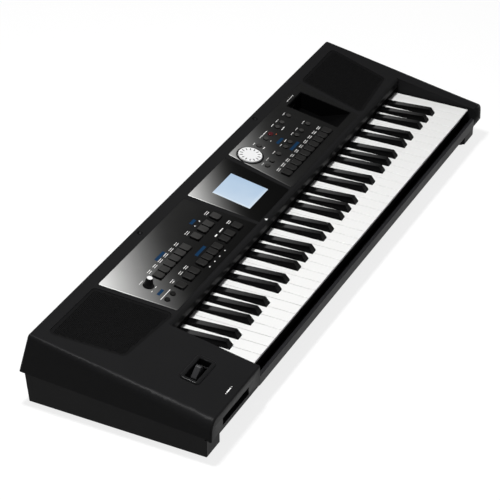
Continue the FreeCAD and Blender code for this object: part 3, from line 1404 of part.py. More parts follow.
def make_jacks():
    """Make the phone jacks, the rear plate and the sockets and switch that it carries."""
    middle = "(bay_bottom + bay_top) / 2"
    seat = f"-{HALF_DEPTH} + bay_depth"
    jacks = []
    for step, x in enumerate(phone_places()):
        bush = jack_bar(f"phone_bush_{step}", x, "jack_bush",
                        (f"{seat} - jack_lip", f"{seat} + bay_wall + jack_length"))
        shell = block(f"phone_body_{step}", (f"{x} - jack_body / 2", f"{x} + jack_body / 2"),
                      (f"{seat} + bay_wall", f"{seat} + bay_wall + jack_length"),
                      (f"{middle} - jack_body / 2", f"{middle} + jack_body / 2"))
        way = jack_bar(f"phone_way_{step}", x, "jack_bore", (f"{seat} - overrun", f"{seat} + jack_length"))
        jacks.append(cut(f"phone_jack_{step}", fused(f"phone_solid_{step}", [bush, shell]), [way]))
    line, back = "-rear_line", "(-rear_sink - rear_plate)"
    for step in range(round(value("output_count"))):
        x = f"(output_first + {step} * output_pitch)"
        bush = rod(f"output_bush_{step}", x, line, (f"{back} - jack_length", "-rear_sink + jack_lip"),
                   "jack_bush", "rear")
        shell = block(f"output_body_{step}", (f"{x} - jack_body / 2", f"{x} + jack_body / 2"),
                      (f"{line} - jack_body / 2", f"{line} + jack_body / 2"), (f"{back} - jack_length",
                                                                               back), "rear")
        way = rod(f"output_way_{step}", x, line, (f"{back} - jack_length + rear_plate", "overrun"),
                  "jack_bore", "rear")
        jacks.append(cut(f"output_jack_{step}", fused(f"output_solid_{step}", [bush, shell]), [way]))
    finish("phone_jacks", grouped("jack_group", jacks))

    plate = block("rear_sheet", ("rear_left", "rear_right"), ("-rear_up_high", "-rear_up_low"),
                  (back, "-rear_sink"), "rear")
    holes = [rod(f"output_hole_{step}", f"output_first + {step} * output_pitch", line,
                 ("-overrun", "overrun"),
                 "jack_bush + 2 * panel_gap", "rear") for step in range(round(value("output_count")))]
    holes.append(block("host_hole", ("host_out - host_width / 2 - panel_gap",
                                     "host_out + host_width / 2 + panel_gap"),
                       (f"{line} - host_high / 2 - panel_gap", f"{line} + host_high / 2 + panel_gap"),
                       ("-overrun", "overrun"), "rear"))
    holes.append(rod("inlet_hole", "inlet_out", line, ("-overrun", "overrun"), "jack_bush + 2 * panel_gap",
                     "rear"))
    half = "power_cap / 2 + sliding_gap"
    holes.append(block("power_hole", (f"power_out - ({half})", f"power_out + {half}"),
                       (f"{line} - ({half})", f"{line} + {half}"), ("-overrun", "overrun"), "rear"))
    finish("rear_plate", cut("rear_plate_cut", plate, holes))

    host = block("host_shell", ("host_out - host_width / 2", "host_out + host_width / 2"),
                 (f"{line} - host_high / 2", f"{line} + host_high / 2"), ("-rear_sink - host_length",
                                                                          "-rear_sink"), "rear")
    host_bore = block("host_way", ("host_out - host_bore / 2", "host_out + host_bore / 2"),
                      (f"{line} - host_bore / 2", f"{line} + host_bore / 2"), (f"{back} - host_length / 2",
                                                                               "overrun"), "rear")
    finish("computer_socket", cut("computer_socket_cut", host, [host_bore]))

    half = "inlet_size / 2"
    shell = block("inlet_shell", (f"inlet_out - {half}", f"inlet_out + {half}"),
                  (f"{line} - {half}", f"{line} + {half}"),
                  (f"{back} - inlet_length", back), "rear")
    bush = rod("inlet_bush", "inlet_out", line, (f"{back} - inlet_length", "-rear_sink"), "jack_bush",
               "rear")
    way = rod("inlet_way", "inlet_out", line, (f"{back} - inlet_length + rear_plate", "overrun"),
              "inlet_bore", "rear")
    pin = rod("inlet_centre", "inlet_out", line, (f"{back} - inlet_length", back), "inlet_pin", "rear")
    hollow = cut("inlet_hollow", fused("inlet_solid", [shell, bush]), [way])
    finish("dc_inlet", fused("dc_inlet_solid", [hollow, pin]))

    half = "power_body / 2"
    body = block("power_shell", (f"power_out - {half}", f"power_out + {half}"),
                 (f"{line} - {half}", f"{line} + {half}"),
                 (f"{back} - power_length", back), "rear")
    cap = "power_cap / 2"
    gap = "(power_cap / 2 + sliding_gap)"
    inside = f"{back} - power_length / 2"
    space = block("power_space", (f"power_out - {gap}", f"power_out + {gap}"),
                  (f"{line} - {gap}", f"{line} + {gap}"),
                  (inside, "overrun"), "rear")
    finish("power_switch_body", cut("power_switch_cut", body, [space]))
    finish("power_button", block("power_cap_block", (f"power_out - {cap}", f"power_out + {cap}"),
                                 (f"{line} - {cap}", f"{line} + {cap}"),
                                 (f"{inside} + power_travel + sliding_gap",
                                  "-rear_sink + power_rise"), "rear"))


def check_and_write():
    """Stop on any failed object or bad shape, then write each sub-part's file."""
    document.recompute()
    failed = [item.Name for item in document.Objects if {"Invalid", "Error"} & set(item.State)]
    if failed:
        raise RuntimeError(f"failed objects: {failed}")
    os.makedirs("parts", exist_ok=True)
    for label, item in finished.items():
        shape = item.Shape
        if shape.isNull() or not shape.isValid() or not shape.Solids:
            raise RuntimeError(f"bad shape: {label}")
    for label, item in finished.items():
        item.Shape.exportStep(f"parts/{label}.step")
        box = item.Shape.BoundBox
        low, high = (box.XMin, box.YMin, box.ZMin), (box.XMax, box.YMax, box.ZMax)
        ends = ", ".join(f"{axis} {a:.1f}..{b:.1f}" for axis, a, b in zip("xyz", low, high))
        print(f"{label}: {len(item.Shape.Solids)} solids, {item.Shape.Volume / 1000:.1f} cm3, {ends}")


make_top_case()
make_bottom_case()
make_key_slip()
make_fasteners()
make_keys()
make_key_bed()
make_panels()
make_buttons()
make_rotary_controls()
make_display()
make_boards()
make_speakers()
make_memory_tray()
make_bend_lever()
make_jacks()
check_and_write()
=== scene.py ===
"""Dresses a packed arranger keyboard: 61 keys, a sloping control panel, two speakers and a bend lever.

Everything is in metres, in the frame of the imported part: +X runs to the player's right, +Y to the back and
+Z up. The panel's own frame is (across, up the slope, out of the surface).
"""
import json
import logging
import math
import random
from collections.abc import Callable, Mapping, Sequence
from dataclasses import dataclass
from enum import Enum

import bmesh
import bpy
from mathutils import Matrix, Vector


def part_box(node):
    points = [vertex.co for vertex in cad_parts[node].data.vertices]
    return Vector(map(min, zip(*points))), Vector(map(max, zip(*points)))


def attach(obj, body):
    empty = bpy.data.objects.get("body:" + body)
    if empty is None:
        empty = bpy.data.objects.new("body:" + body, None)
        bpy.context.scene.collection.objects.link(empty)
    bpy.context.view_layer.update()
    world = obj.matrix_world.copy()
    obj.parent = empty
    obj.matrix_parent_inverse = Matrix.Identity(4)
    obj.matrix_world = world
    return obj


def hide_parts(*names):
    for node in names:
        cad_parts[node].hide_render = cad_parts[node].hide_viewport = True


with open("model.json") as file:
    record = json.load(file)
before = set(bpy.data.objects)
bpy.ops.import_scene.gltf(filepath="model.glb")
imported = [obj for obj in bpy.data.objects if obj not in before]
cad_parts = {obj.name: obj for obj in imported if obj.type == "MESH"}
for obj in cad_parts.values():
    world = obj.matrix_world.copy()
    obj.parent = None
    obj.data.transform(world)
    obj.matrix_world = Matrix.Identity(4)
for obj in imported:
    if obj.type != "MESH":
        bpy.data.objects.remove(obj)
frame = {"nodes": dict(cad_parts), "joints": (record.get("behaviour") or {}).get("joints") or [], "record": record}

LOG = logging.getLogger("arranger_keyboard")
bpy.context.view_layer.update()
CASE_BODY = "case"
MERGE_DISTANCE = 2e-6
FLAT_ANGLE = math.radians(0.6)
CREASE_ANGLE = math.radians(38)
FACING = 0.9
LEVEL_SLACK = 1e-5
Colour = tuple[float, float, float]
Point = tuple[float, float, float]
Profile = Sequence[tuple[float, float]]
EdgeTest = Callable[[bmesh.types.BMEdge], bool]


class Expr:
    """A shader socket that takes part in Python sums."""

    def __init__(self, graph: "Graph", socket: bpy.types.NodeSocket) -> None:
        """Keep the socket and the graph that it belongs to."""
        self.graph = graph
        self.socket = socket

    def math(self, operation: str, *others: "Expr | float") -> "Expr":
        """Add a Math node with this value as its first input."""
        return self.graph.node("ShaderNodeMath", {"operation": operation}, dict(enumerate((self, *others))))

    def after(self, operation: str, first: float) -> "Expr":
        """Add a Math node with this value as its second input."""
        return self.graph.node("ShaderNodeMath", {"operation": operation}, {0: first, 1: self})

    def __add__(self, other: "Expr | float") -> "Expr":
        """Add."""
        return self.math("ADD", other)

    def __radd__(self, other: float) -> "Expr":
        """Add to a number."""
        return self.math("ADD", other)

    def __sub__(self, other: "Expr | float") -> "Expr":
        """Subtract."""
        return self.math("SUBTRACT", other)

    def __rsub__(self, other: float) -> "Expr":
        """Subtract from a number."""
        return self.after("SUBTRACT", other)

    def __mul__(self, other: "Expr | float") -> "Expr":
        """Multiply."""
        return self.math("MULTIPLY", other)

    def __rmul__(self, other: float) -> "Expr":
        """Multiply a number."""
        return self.math("MULTIPLY", other)

    def __truediv__(self, other: "Expr | float") -> "Expr":
        """Divide."""
        return self.math("DIVIDE", other)

    def __rtruediv__(self, other: float) -> "Expr":
        """Divide a number."""
        return self.after("DIVIDE", other)

    def __pow__(self, other: float) -> "Expr":
        """Raise to a power."""
        return self.math("POWER", other)

    def at_least(self, low: float) -> "Expr":
        """Hold at or above a number."""
        return self.math("MAXIMUM", low)

    def at_most(self, high: float) -> "Expr":
        """Hold at or below a number."""
        return self.math("MINIMUM", high)

    def clamped(self) -> "Expr":
        """Hold between 0 and 1."""
        return self.at_least(0).at_most(1)


class Graph:
    """The shader nodes of a material or of the world."""

    def __init__(self, owner: bpy.types.Material | bpy.types.World) -> None:
        """Clear the owner's nodes.

        Args:
            owner: The material or the world.
        """
        self.owner = owner
        owner.use_nodes = True
        self.tree = owner.node_tree
        self.tree.nodes.clear()

    @classmethod
    def named(cls, name: str) -> "Graph":
        """Start the graph of a new material."""
        return cls(bpy.data.materials.new(name))

    def node(self, kind: str, settings: Mapping[str, object] | None = None,
             sockets: Mapping[int | str, object] | None = None, output: int | str = 0) -> Expr:
        """Add a node.

        Args:
            kind: The node's type.
            settings: Its properties; stops are the places and colours of a ramp.
            sockets: Values or links of its inputs.
            output: The output to give back.

        Returns:
            That output.
        """
        made = self.tree.nodes.new(kind)
        for key, value in (settings or {}).items():
            if key == "stops":
                elements = made.color_ramp.elements
                while len(elements) < len(value):
                    elements.new(1)
                for element, (place, colour) in zip(elements, value):
                    element.position, element.color = place, (*colour, 1)
            else:
                setattr(made, key, value)
        for key, value in (sockets or {}).items():
            if isinstance(value, Expr):
                self.tree.links.new(value.socket, made.inputs[key])
            else:
                made.inputs[key].default_value = value
        return Expr(self, made.outputs[output])

    def place(self) -> Expr:
        """Give the point on the piece, in the part's frame."""
        return self.node("ShaderNodeTexCoord", output="Object")

    def axes(self) -> tuple[Expr, Expr, Expr]:
        """Give the point's three coordinates."""
        split = self.node("ShaderNodeSeparateXYZ", sockets={0: self.place()}).socket.node
        return Expr(self, split.outputs[0]), Expr(self, split.outputs[1]), Expr(self, split.outputs[2])

    def noise(self, size: float, detail: float = 2.0, stretch: Sequence[float] = (1, 1, 1)) -> Expr:
        """Add noise from 0 to 1, with grains of a given size that are finer along an axis by its stretch."""
        spot = self.node("ShaderNodeMapping", sockets={"Vector": self.place(), "Scale": tuple(stretch)})
        return self.node("ShaderNodeTexNoise", sockets={"Vector": spot, "Scale": 1 / size, "Detail": detail})

    def mixed(self, factor: Expr, low: Colour, high: Colour) -> Expr:
        """Blend two colours by a factor."""
        return self.node("ShaderNodeMix", {"data_type": "RGBA"},
                         {0: factor, 6: (*low, 1), 7: (*high, 1)}, output=2)

    def toned(self, factor: Expr, colour: Colour, low: float, high: float) -> Expr:
        """Vary a colour from low to high times its strength by a factor."""
        ends_of_range = [tuple(part * level for part in colour) for level in (low, high)]
        return self.mixed(factor, *ends_of_range)

    def bump(self, height: Expr, depth: float) -> Expr:
        """Turn a height from 0 to 1 into the normal of a pattern of a given depth."""
        return self.node("ShaderNodeBump", sockets={"Height": height, "Distance": depth, "Strength": 1.0})

    def surface(self, sockets: Mapping[str, object]) -> bpy.types.Material:
        """Close the material with a Principled shader."""
        self.close(self.node("ShaderNodeBsdfPrincipled", sockets=sockets))
        return self.owner

    def close(self, shader: Expr) -> None:
        """Link a shader to the owner's output.

        Args:
            shader: The shader.
        """
        kind = "World" if isinstance(self.owner, bpy.types.World) else "Material"
        out = self.tree.nodes.new(f"ShaderNodeOutput{kind}")
        self.tree.links.new(shader.socket, out.inputs["Surface"])


@dataclass(frozen=True)
class Finish:
    """The look of a piece and the name of its slot."""

    name: str
    slot: str

    def sockets(self, graph: Graph) -> dict[str, object]:
        """Describe the surface by the values and links of its shader."""
        raise NotImplementedError

    def material(self) -> bpy.types.Material:
        """Make the material."""
        graph = Graph.named(self.name)
        return graph.surface(self.sockets(graph))


@dataclass(frozen=True)
class MouldedPlastic(Finish):
    """Moulded or painted plastic with a fine grain and slightly uneven gloss."""

    colour: Colour
    roughness: float = 0.45
    grain: float = 0.0006
    depth: float = 0.00003
    patch: float = 0.06
    unevenness: float = 0.08
    specular: float = 0.5
    coat: float = 0.0
    coat_roughness: float = 0.12

    def sockets(self, graph: Graph) -> dict[str, object]:
        """Describe the surface.

        Args:
            graph: The material's graph.

        Returns:
            The values and links of its shader.
        """
        broad = graph.noise(self.patch)
        fine = graph.noise(self.grain, 3)
        tone = broad * 0.5 + fine * 0.5
        return {
            "Base Color": graph.toned(tone, self.colour, 1 - self.unevenness, 1 + self.unevenness),
            "Roughness": broad * self.unevenness * 2 + (self.roughness - self.unevenness),
            "Normal": graph.bump(fine, self.depth),
            "Specular IOR Level": self.specular,
            "Coat Weight": self.coat,
            "Coat Roughness": self.coat_roughness,
        }


@dataclass(frozen=True)
class KeyBlack(Finish):
    """Black key plastic: matte sides and a crest that is polished towards its back."""

    colour: Colour
    front: float
    back: float
    crest: float
    fall: float
    polish: float = 0.0015
    grain: float = 0.001
    depth: float = 0.000003
    roughness: float = 0.24
    coat_roughness: float = 0.14
    specular: float = 0.04

    def sockets(self, graph: Graph) -> dict[str, object]:
        """Describe the surface.

        Args:
            graph: The material's graph.

        Returns:
            The values and links of its shader.
        """
        _, y, z = graph.axes()
        way = ((y - self.front) / (self.back - self.front)).clamped()
        below = self.crest - (y - self.front) * math.tan(self.fall) - z
        gloss = (1 - below / self.polish).clamped()
        grain = graph.noise(self.grain)
        return {
            "Base Color": graph.toned(grain, self.colour, 0.9, 1.1),
            "Roughness": grain * 0.06 + self.roughness,
            "Coat Weight": gloss * way,
            "Coat Roughness": self.coat_roughness,
            "Normal": graph.bump(grain, self.depth),
            "Specular IOR Level": self.specular,
        }


@dataclass(frozen=True)
class CapPlasticPaintedLight(Finish):
    """Button plastic with painted light and shade: dull tops, painted paler in the back row where more light
    falls, over walls painted dark as painted shade.
    """

    tilt: float
    height: float
    top: float
    pale: float = 0.038
    dark: float = 0.017
    wall: float = 0.0015
    row: float = 0.035
    spread: float = 0.025
    lip: float = 0.0009
    tint: Colour = (1, 0.98, 0.95)
    grain: float = 0.0005
    depth: float = 0.00002
    roughness: float = 0.38
    specular: float = 0.12

    def sockets(self, graph: Graph) -> dict[str, object]:
        """Describe the surface.

        Args:
            graph: The material's graph.

        Returns:
            The values and links of its shader.
        """
        _, y, z = graph.axes()
        # Walls below the top get painted shade; tops are painted paler toward the back row as painted light.
        out = (z - y * math.tan(self.tilt) - self.height) * math.cos(self.tilt)
        top_not_shaded = (1 - (self.top - out) / self.lip).clamped()
        back = ((y - self.row) / self.spread).clamped()
        grain = graph.noise(self.grain, 3)
        tone = back * (self.pale - self.dark) + (self.dark - self.wall)
        return {
            "Base Color": graph.toned((tone * top_not_shaded + self.wall) * (grain * 0.2 + 0.9), self.tint, 0, 1),
            "Roughness": grain * 0.1 + self.roughness,
            "Normal": graph.bump(grain, self.depth),
            "Specular IOR Level": self.specular,
        }


@dataclass(frozen=True)
class PanelPaintedReflection(Finish):
    """Charcoal panel paint with a painted reflection that is silver at its back left corner and fades to charcoal,
    a painted highlight along its left edge, and a fine sparkle.
    """

    left: float
    back: float
    brightest: float
    fall_across: float
    fall_front: float
    slant: float
    darkest: float
    lift: float
    blend: float = 0.12
    rim: float = 0.0010
    edge_highlight_gain: float = 0.45
    tint: Colour = (1.0, 1.0, 0.985)
    flake: float = 0.0005
    cloud: float = 0.03
    depth: float = 0.00001
    roughness: float = 0.36
    specular: float = 0.06

    def sockets(self, graph: Graph) -> dict[str, object]:
        """Describe the surface.

        Args:
            graph: The material's graph.

        Returns:
            The values and links of its shader.
        """
        x, y, _ = graph.axes()
        flake = graph.noise(self.flake, 1)
        cloud = graph.noise(self.cloud)
        # The level is a painted reflection: brightest at the back left corner, falling to the right and to the
        # front.
        level = self.brightest - (x - self.left) * self.fall_across - (self.back - y) * self.fall_front
        from_edge = x - self.left - (self.back - y) * self.slant
        # Painted highlight in a thin band along the panel's left edge.
        rim = (1 - (from_edge - self.rim).at_least(0) / self.rim).at_least(0) * level.at_least(0)
        darkest = y * self.lift + self.darkest
        above = level - darkest
        fade = (above + (above * above + self.blend ** 2) ** 0.5) * 0.5 + (darkest - self.blend * 0.12)
        shown = fade + rim * self.edge_highlight_gain + (cloud - 0.5) * 0.02 + (flake - 0.5) * 0.03
        return {
            "Base Color": graph.toned((shown ** 2.2).at_most(0.8), self.tint, 0, 1),
            "Roughness": flake * 0.15 + self.roughness,
            "Normal": graph.bump(flake, self.depth),
            "Specular IOR Level": self.specular,
        }


@dataclass(frozen=True)
class LitScreen(Finish):
    """A lit liquid crystal display behind clear plastic: pale blue, lighter along two edges."""

    left: float
    right: float
    front: float
    glow: Colour = (0.40, 0.56, 0.76)
    pale: Colour = (0.72, 0.82, 0.92)
    edge: float = 0.006
    cloud: float = 0.03
    cells: float = 1400.0
    strength: float = 0.92
    behind: Colour = (0.02, 0.025, 0.03)
    smear: float = 0.02
    roughness: float = 0.10
    specular: float = 0.3

    def sockets(self, graph: Graph) -> dict[str, object]:
        """Describe the surface.

        Args:
            graph: The material's graph.

        Returns:
            The values and links of its shader.
        """
        x, y, _ = graph.axes()
        near_left = 1 - ((x - self.left) / self.edge).clamped()
        near_front = 1 - ((y - self.front) / self.edge).clamped()
        rise = ((self.right - x) / (self.right - self.left)) * 0.45 + graph.noise(self.cloud, 1) * 0.3
        cells = graph.node("ShaderNodeTexChecker", sockets={"Vector": graph.place(), "Scale": self.cells},
                           output="Fac")
        paleness = (rise + near_left * 0.35 + near_front * 0.45 + cells * 0.03).at_most(1)
        colour = graph.mixed(paleness, self.glow, self.pale)
        return {
            "Base Color": (*self.behind, 1),
            "Emission Color": colour,
            "Emission Strength": self.strength,
            "Roughness": graph.noise(self.smear, 1) * 0.05 + self.roughness,
            "Specular IOR Level": self.specular,
        }


@dataclass(frozen=True)
class Metal(Finish):
    """Bare metal with fine lines along one axis."""

    colour: Colour
    roughness: float = 0.28
    line: float = 0.0005
    stretch: Sequence[float] = (1, 1, 0.05)
    depth: float = 0.00001

    def sockets(self, graph: Graph) -> dict[str, object]:
        """Describe the surface.

        Args:
            graph: The material's graph.

        Returns:
            The values and links of its shader.
        """
        lines = graph.noise(self.line, 2, self.stretch)
        return {
            "Base Color": graph.toned(lines, self.colour, 0.85, 1),
            "Metallic": 1.0,
            "Roughness": lines * 0.2 + (self.roughness - 0.1),
            "Normal": graph.bump(lines, self.depth),
        }


@dataclass(frozen=True)
class Felt(Finish):
    """Felt or speaker paper: matte, with matted fibres."""

    colour: Colour
    fibre: float = 0.0008
    depth: float = 0.0002
    roughness: float = 0.95
    sheen: float = 0.3

    def sockets(self, graph: Graph) -> dict[str, object]:
        """Describe the surface.

        Args:
            graph: The material's graph.

        Returns:
            The values and links of its shader.
        """
        fibres = graph.noise(self.fibre, 4, (1, 0.3, 1))
        return {
            "Base Color": graph.toned(fibres, self.colour, 0.6, 1.3),
            "Roughness": self.roughness,
            "Normal": graph.bump(fibres, self.depth),
            "Sheen Weight": self.sheen,
        }


@dataclass(frozen=True)
class CircuitBoard(Finish):
    """Green circuit board with a pattern of tracks."""

    colour: Colour
    tracks: float = 160.0
    roughness: float = 0.3

    def sockets(self, graph: Graph) -> dict[str, object]:
        """Describe the surface.

        Args:
            graph: The material's graph.

        Returns:
            The values and links of its shader.
        """
        tracks = graph.node("ShaderNodeTexVoronoi", {"distance": "MANHATTAN"},
                            {"Vector": graph.place(), "Scale": self.tracks})
        return {
            "Base Color": graph.toned(tracks.at_most(1), self.colour, 0.7, 1.6),
            "Roughness": tracks * 0.2 + self.roughness,
        }


class Paint(Enum):
    """The finishes of the instrument's pieces."""

    CASE = MouldedPlastic("case_plastic", "case_black", (0.0132, 0.0132, 0.0137), 0.36, 0.0009, 0.00001,
                          specular=0.035)
    LOWER_CASE = MouldedPlastic("lower_case_plastic", "case_lower", (0.0075, 0.0075, 0.0078), 0.45, 0.0011,
                                0.00003, specular=0.08)
    SLIP = MouldedPlastic("key_slip_plastic", "case_lower", (0.016, 0.016, 0.018), 0.5, specular=0.15)
    GRILLE = MouldedPlastic("grille_paint", "grille_black", (0.0060, 0.0060, 0.0062), 0.6, 0.0008, 0.00002,
                            specular=0.06)
    SPEAKER = MouldedPlastic("speaker_paint", "speaker_steel", (0.03, 0.03, 0.033), 0.5)
    WHITE_KEY = MouldedPlastic("white_key_plastic", "key_white", (0.86, 0.86, 0.85), 0.24, 0.02, 0.00001, 0.2,
                               0.012, 0.4, 0.15)
    RECORD = MouldedPlastic("record_button_plastic", "record_red", (0.07, 0.004, 0.008), 0.25, 0.0006, 0.00001,
                            0.02, 0.05, 0.5, 0.4)
    DIAL = MouldedPlastic("dial_plastic", "dial_white", (0.84, 0.84, 0.84), 0.38, 0.0008, 0.00001, 0.02, 0.02)
    DIAL_MARK = MouldedPlastic("dial_mark_paint", "collar_black", (0.022, 0.022, 0.024), 0.5)
    COLLAR = MouldedPlastic("collar_plastic", "collar_black", (0.006, 0.006, 0.007), 0.2, 0.0008, 0.00001,
                            0.02, 0.04, 0.5, 0.3)
    KNOB = MouldedPlastic("knob_plastic", "knob_black", (0.005, 0.005, 0.0055), 0.34, 0.0006, 0.00001,
                          specular=0.15)
    KNOB_CAP = MouldedPlastic("knob_cap_paint", "dial_white", (0.86, 0.86, 0.86), 0.3, 0.0006, 0.000005)
    LEVER = MouldedPlastic("lever_plastic", "lever_grey", (0.045, 0.045, 0.047), 0.4, 0.0006, 0.00002,
                           specular=0.2)
    BEZEL = MouldedPlastic("bezel_plastic", "case_lower", (0.011, 0.011, 0.0115), 0.28, 0.0006, 0.00001,
                           specular=0.12)
    # Black tray plastic, darkened further as painted shade in the recess.
    TRAY_BLACK_AND_SHADE = MouldedPlastic("tray_plastic", "case_lower", (0.002, 0.002, 0.0021), 0.5, 0.0008, 0.00003,
                          specular=0.03)
    INNER = MouldedPlastic("inner_plastic", "inner_plastic", (0.016, 0.016, 0.017), 0.55)
    REAR = MouldedPlastic("rear_paint", "rear_paint", (0.016, 0.016, 0.018), 0.4, 0.0004, 0.00002)
    RUBBER = MouldedPlastic("foot_rubber", "foot_rubber", (0.012, 0.012, 0.012), 0.85, 0.0012, 0.0001)
    MODULE = MouldedPlastic("module_plastic", "module_white", (0.6, 0.7, 0.8), 0.5)
    INK_WHITE = MouldedPlastic("white_ink", "module_white", (0.88, 0.88, 0.87), 0.55, 0.0004, 0.000005)
    INK_BLUE = MouldedPlastic("blue_ink", "module_white", (0.004, 0.030, 0.078), 0.55, 0.0004, 0.000005,
                              specular=0.1)
    INK_ORANGE = MouldedPlastic("orange_ink", "record_red", (0.75, 0.16, 0.03), 0.55, 0.0004, 0.000005)
    NICKEL = Metal("nickel", "socket_metal", (0.62, 0.61, 0.58))
    STEEL = Metal("steel", "steel_rod", (0.55, 0.55, 0.56), 0.32, 0.0008, (0.05, 1, 1))
    FELT = Felt("red_felt", "felt_red", (0.35, 0.03, 0.03))
    # Flat black of the strip under the deck's front edge, which stands in for shade there; the music rest's rings
    # reuse it.
    SHADE_STRIP_BLACK = MouldedPlastic("nose_shade_strip", "foot_rubber", (0.002, 0.002, 0.002), 0.9, 0.0008, 0.0001,
                               specular=0.02)
    CONE = Felt("cone_paper", "cone_paper", (0.03, 0.03, 0.03))
    BOARD = CircuitBoard("circuit_board", "board_green", (0.02, 0.11, 0.045))


@dataclass(frozen=True)
class Slope:
    """The plane of the control panel."""

    tilt: float
    height: float

    @classmethod
    def from_frame(cls) -> "Slope":
        """Read the plane from the dial's hinge, which stands square to it.

        Returns:
            The plane.
        """
        hinge = next(joint for joint in frame["joints"] if joint["name"] == "value_dial_turn")
        axis, point = Vector(hinge["axis"]), Vector(hinge["pos_m"])
        tilt = math.atan2(-axis.y, axis.z)
        return cls(tilt, point.z - point.y * math.tan(tilt))

    def matrix(self, across: float = 0.0, up: float = 0.0, out: float = 0.0) -> Matrix:
        """Give the matrix that turns a shape with the panel and moves it across, up the slope and out."""
        return (Matrix.Translation((0, 0, self.height)) @ Matrix.Rotation(self.tilt, 4, "X")
                @ Matrix.Translation((across, up, out)))

    def local(self, point: Vector) -> Vector:
        """Turn a point of the part into one of the panel."""
        return self.matrix().inverted() @ point

    def span(self, node: str) -> tuple[Vector, Vector]:
        """Measure a node in the panel's frame.

        Args:
            node: The node's name.

        Returns:
            The lowest and the highest corner of its box.
        """
        points = [self.local(vert.co) for vert in frame["nodes"][node].data.vertices]
        low = Vector(min(point[axis] for point in points) for axis in range(3))
        return low, Vector(max(point[axis] for point in points) for axis in range(3))

    def carries(self, edge: bmesh.types.BMEdge, slack: float) -> bool:
        """Say whether an edge lies on the plane, within a slack."""
        return all(abs(self.local(end).z) < slack for end in ends(edge))

    def clears(self, edge: bmesh.types.BMEdge, level: float) -> bool:
        """Say whether the whole of an edge is further out of the plane than a level."""
        return all(self.local(end).z > level for end in ends(edge))


def placed(name: str, data: bpy.types.ID) -> bpy.types.Object:
    """Make an object and put it in the scene.

    Args:
        name: The object's name.
        data: Its mesh, lamp or camera.

    Returns:
        The object.
    """
    item = bpy.data.objects.new(name, data)
    bpy.context.scene.collection.objects.link(item)
    return item


class Workshop:
    """Makes pieces, gives them their finishes and puts them on the bodies that carry them."""

    def __init__(self) -> None:
        """Find the panel's plane and which body carries each node."""
        self.slope = Slope.from_frame()
        self.made: dict[str, bpy.types.Material] = {}
        bodies = frame["record"]["behaviour"]["bodies"]
        self.carrier = {node: body for body, nodes in bodies.items() for node in nodes}

    def material(self, finish: Finish) -> bpy.types.Material:
        """Give the material of a finish, made once.

        Args:
            finish: The finish.

        Returns:
            Its material.
        """
        if finish.name not in self.made:
            self.made[finish.name] = finish.material()
        return self.made[finish.name]

    def copy(self, node: str) -> bmesh.types.BMesh:
        """Copy a node's mesh, with its loose triangles joined into flat faces.

        Args:
            node: The node's name.

        Returns:
            The joined copy.
        """
        mesh = bmesh.new()
        mesh.from_mesh(frame["nodes"][node].data)
        bmesh.ops.remove_doubles(mesh, verts=mesh.verts, dist=MERGE_DISTANCE)
        bmesh.ops.dissolve_limit(mesh, angle_limit=FLAT_ANGLE, verts=mesh.verts, edges=mesh.edges)
        mesh.normal_update()
        return mesh

    def soften(self, mesh: bmesh.types.BMesh, radius: float, chosen: EdgeTest, segments: int = 3) -> None:
        """Round the edges that pass a test.

        Args:
            mesh: The mesh to change.
            radius: The rounding's radius.
            chosen: The test.
            segments: Steps in the rounding.
        """
        edges = [edge for edge in mesh.edges if len(edge.link_faces) == 2 and chosen(edge)]
        bmesh.ops.bevel(mesh, geom=edges, offset=radius, offset_type="OFFSET", segments=segments, profile=0.5,
                        affect="EDGES", clamp_overlap=True, material=-1)
        mesh.normal_update()

    def piece(self, name: str, mesh: bmesh.types.BMesh, finish: Finish, body: str = CASE_BODY,
              replaces: Sequence[str] = (), crease: float = CREASE_ANGLE) -> bpy.types.Object:
        """Turn a mesh into a piece of the instrument.

        Args:
            name: The piece's name.
            mesh: Its shape, which is used up.
            finish: Its finish.
            body: The body that carries it.
            replaces: Nodes that it stands for.
            crease: Edges sharper than this stay crisp.

        Returns:
            The piece.
        """
        data = bpy.data.meshes.new(name)
        for face in mesh.faces:
            face.smooth = True
        mesh.to_mesh(data)
        mesh.free()
        data.set_sharp_from_angle(angle=crease)
        item = placed(name, data)
        data.materials.append(self.material(finish))
        item.modifiers.new("weighted", "WEIGHTED_NORMAL").keep_sharp = True
        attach(item, body)
        if replaces:
            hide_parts(*replaces)
        LOG.info("%s rides on %s, %d faces", name, body, len(data.polygons))
        return item

    def dress(self, node: str, finish: Finish) -> None:
        """Give a node that stays as it is a finish.

        Args:
            node: The node's name.
            finish: Its finish.
        """
        item = frame["nodes"][node]
        item.data.materials.clear()
        item.data.materials.append(self.material(finish))
        LOG.info("%s keeps its shape, in %s", node, finish.name)

    def softened(self, node: str, finish: Finish, radius: float, chosen: EdgeTest,
                 segments: int = 3) -> bpy.types.Object:
        """Replace a node by a copy with rounded edges.

        Args:
            node: The node's name.
            finish: The copy's finish.
            radius: The rounding's radius.
            chosen: The test for the edges to round.
            segments: Steps in the rounding.

        Returns:
            The copy.
        """
        mesh = self.copy(node)
        self.soften(mesh, radius, chosen, segments)
        return self.piece(f"{node}_finished", mesh, finish, self.carrier[node], [node])


def sharp(edge: bmesh.types.BMEdge, angle: float = 40.0) -> bool:
    """Say whether an edge bends outwards by more than an angle in degrees."""
    return edge.is_convex and edge.calc_face_angle(0) > math.radians(angle)


def ends(edge: bmesh.types.BMEdge) -> tuple[Vector, Vector]:
    """Give an edge's two end points."""
    return edge.verts[0].co, edge.verts[1].co


def add_block(mesh: bmesh.types.BMesh, size: Sequence[float], place: Matrix) -> None:
    """Add a block of a given size, centred on a place."""
    bmesh.ops.create_cube(mesh, size=1, matrix=place @ Matrix.Diagonal((*size, 1)))


def add_disc(mesh: bmesh.types.BMesh, radius: float, thick: float, place: Matrix, sides: int = 24) -> None:
    """Add a flat disc that stands on a place."""
    bmesh.ops.create_cone(mesh, cap_ends=True, segments=sides, radius1=radius, radius2=radius, depth=thick,
                          matrix=place @ Matrix.Translation((0, 0, thick / 2)))


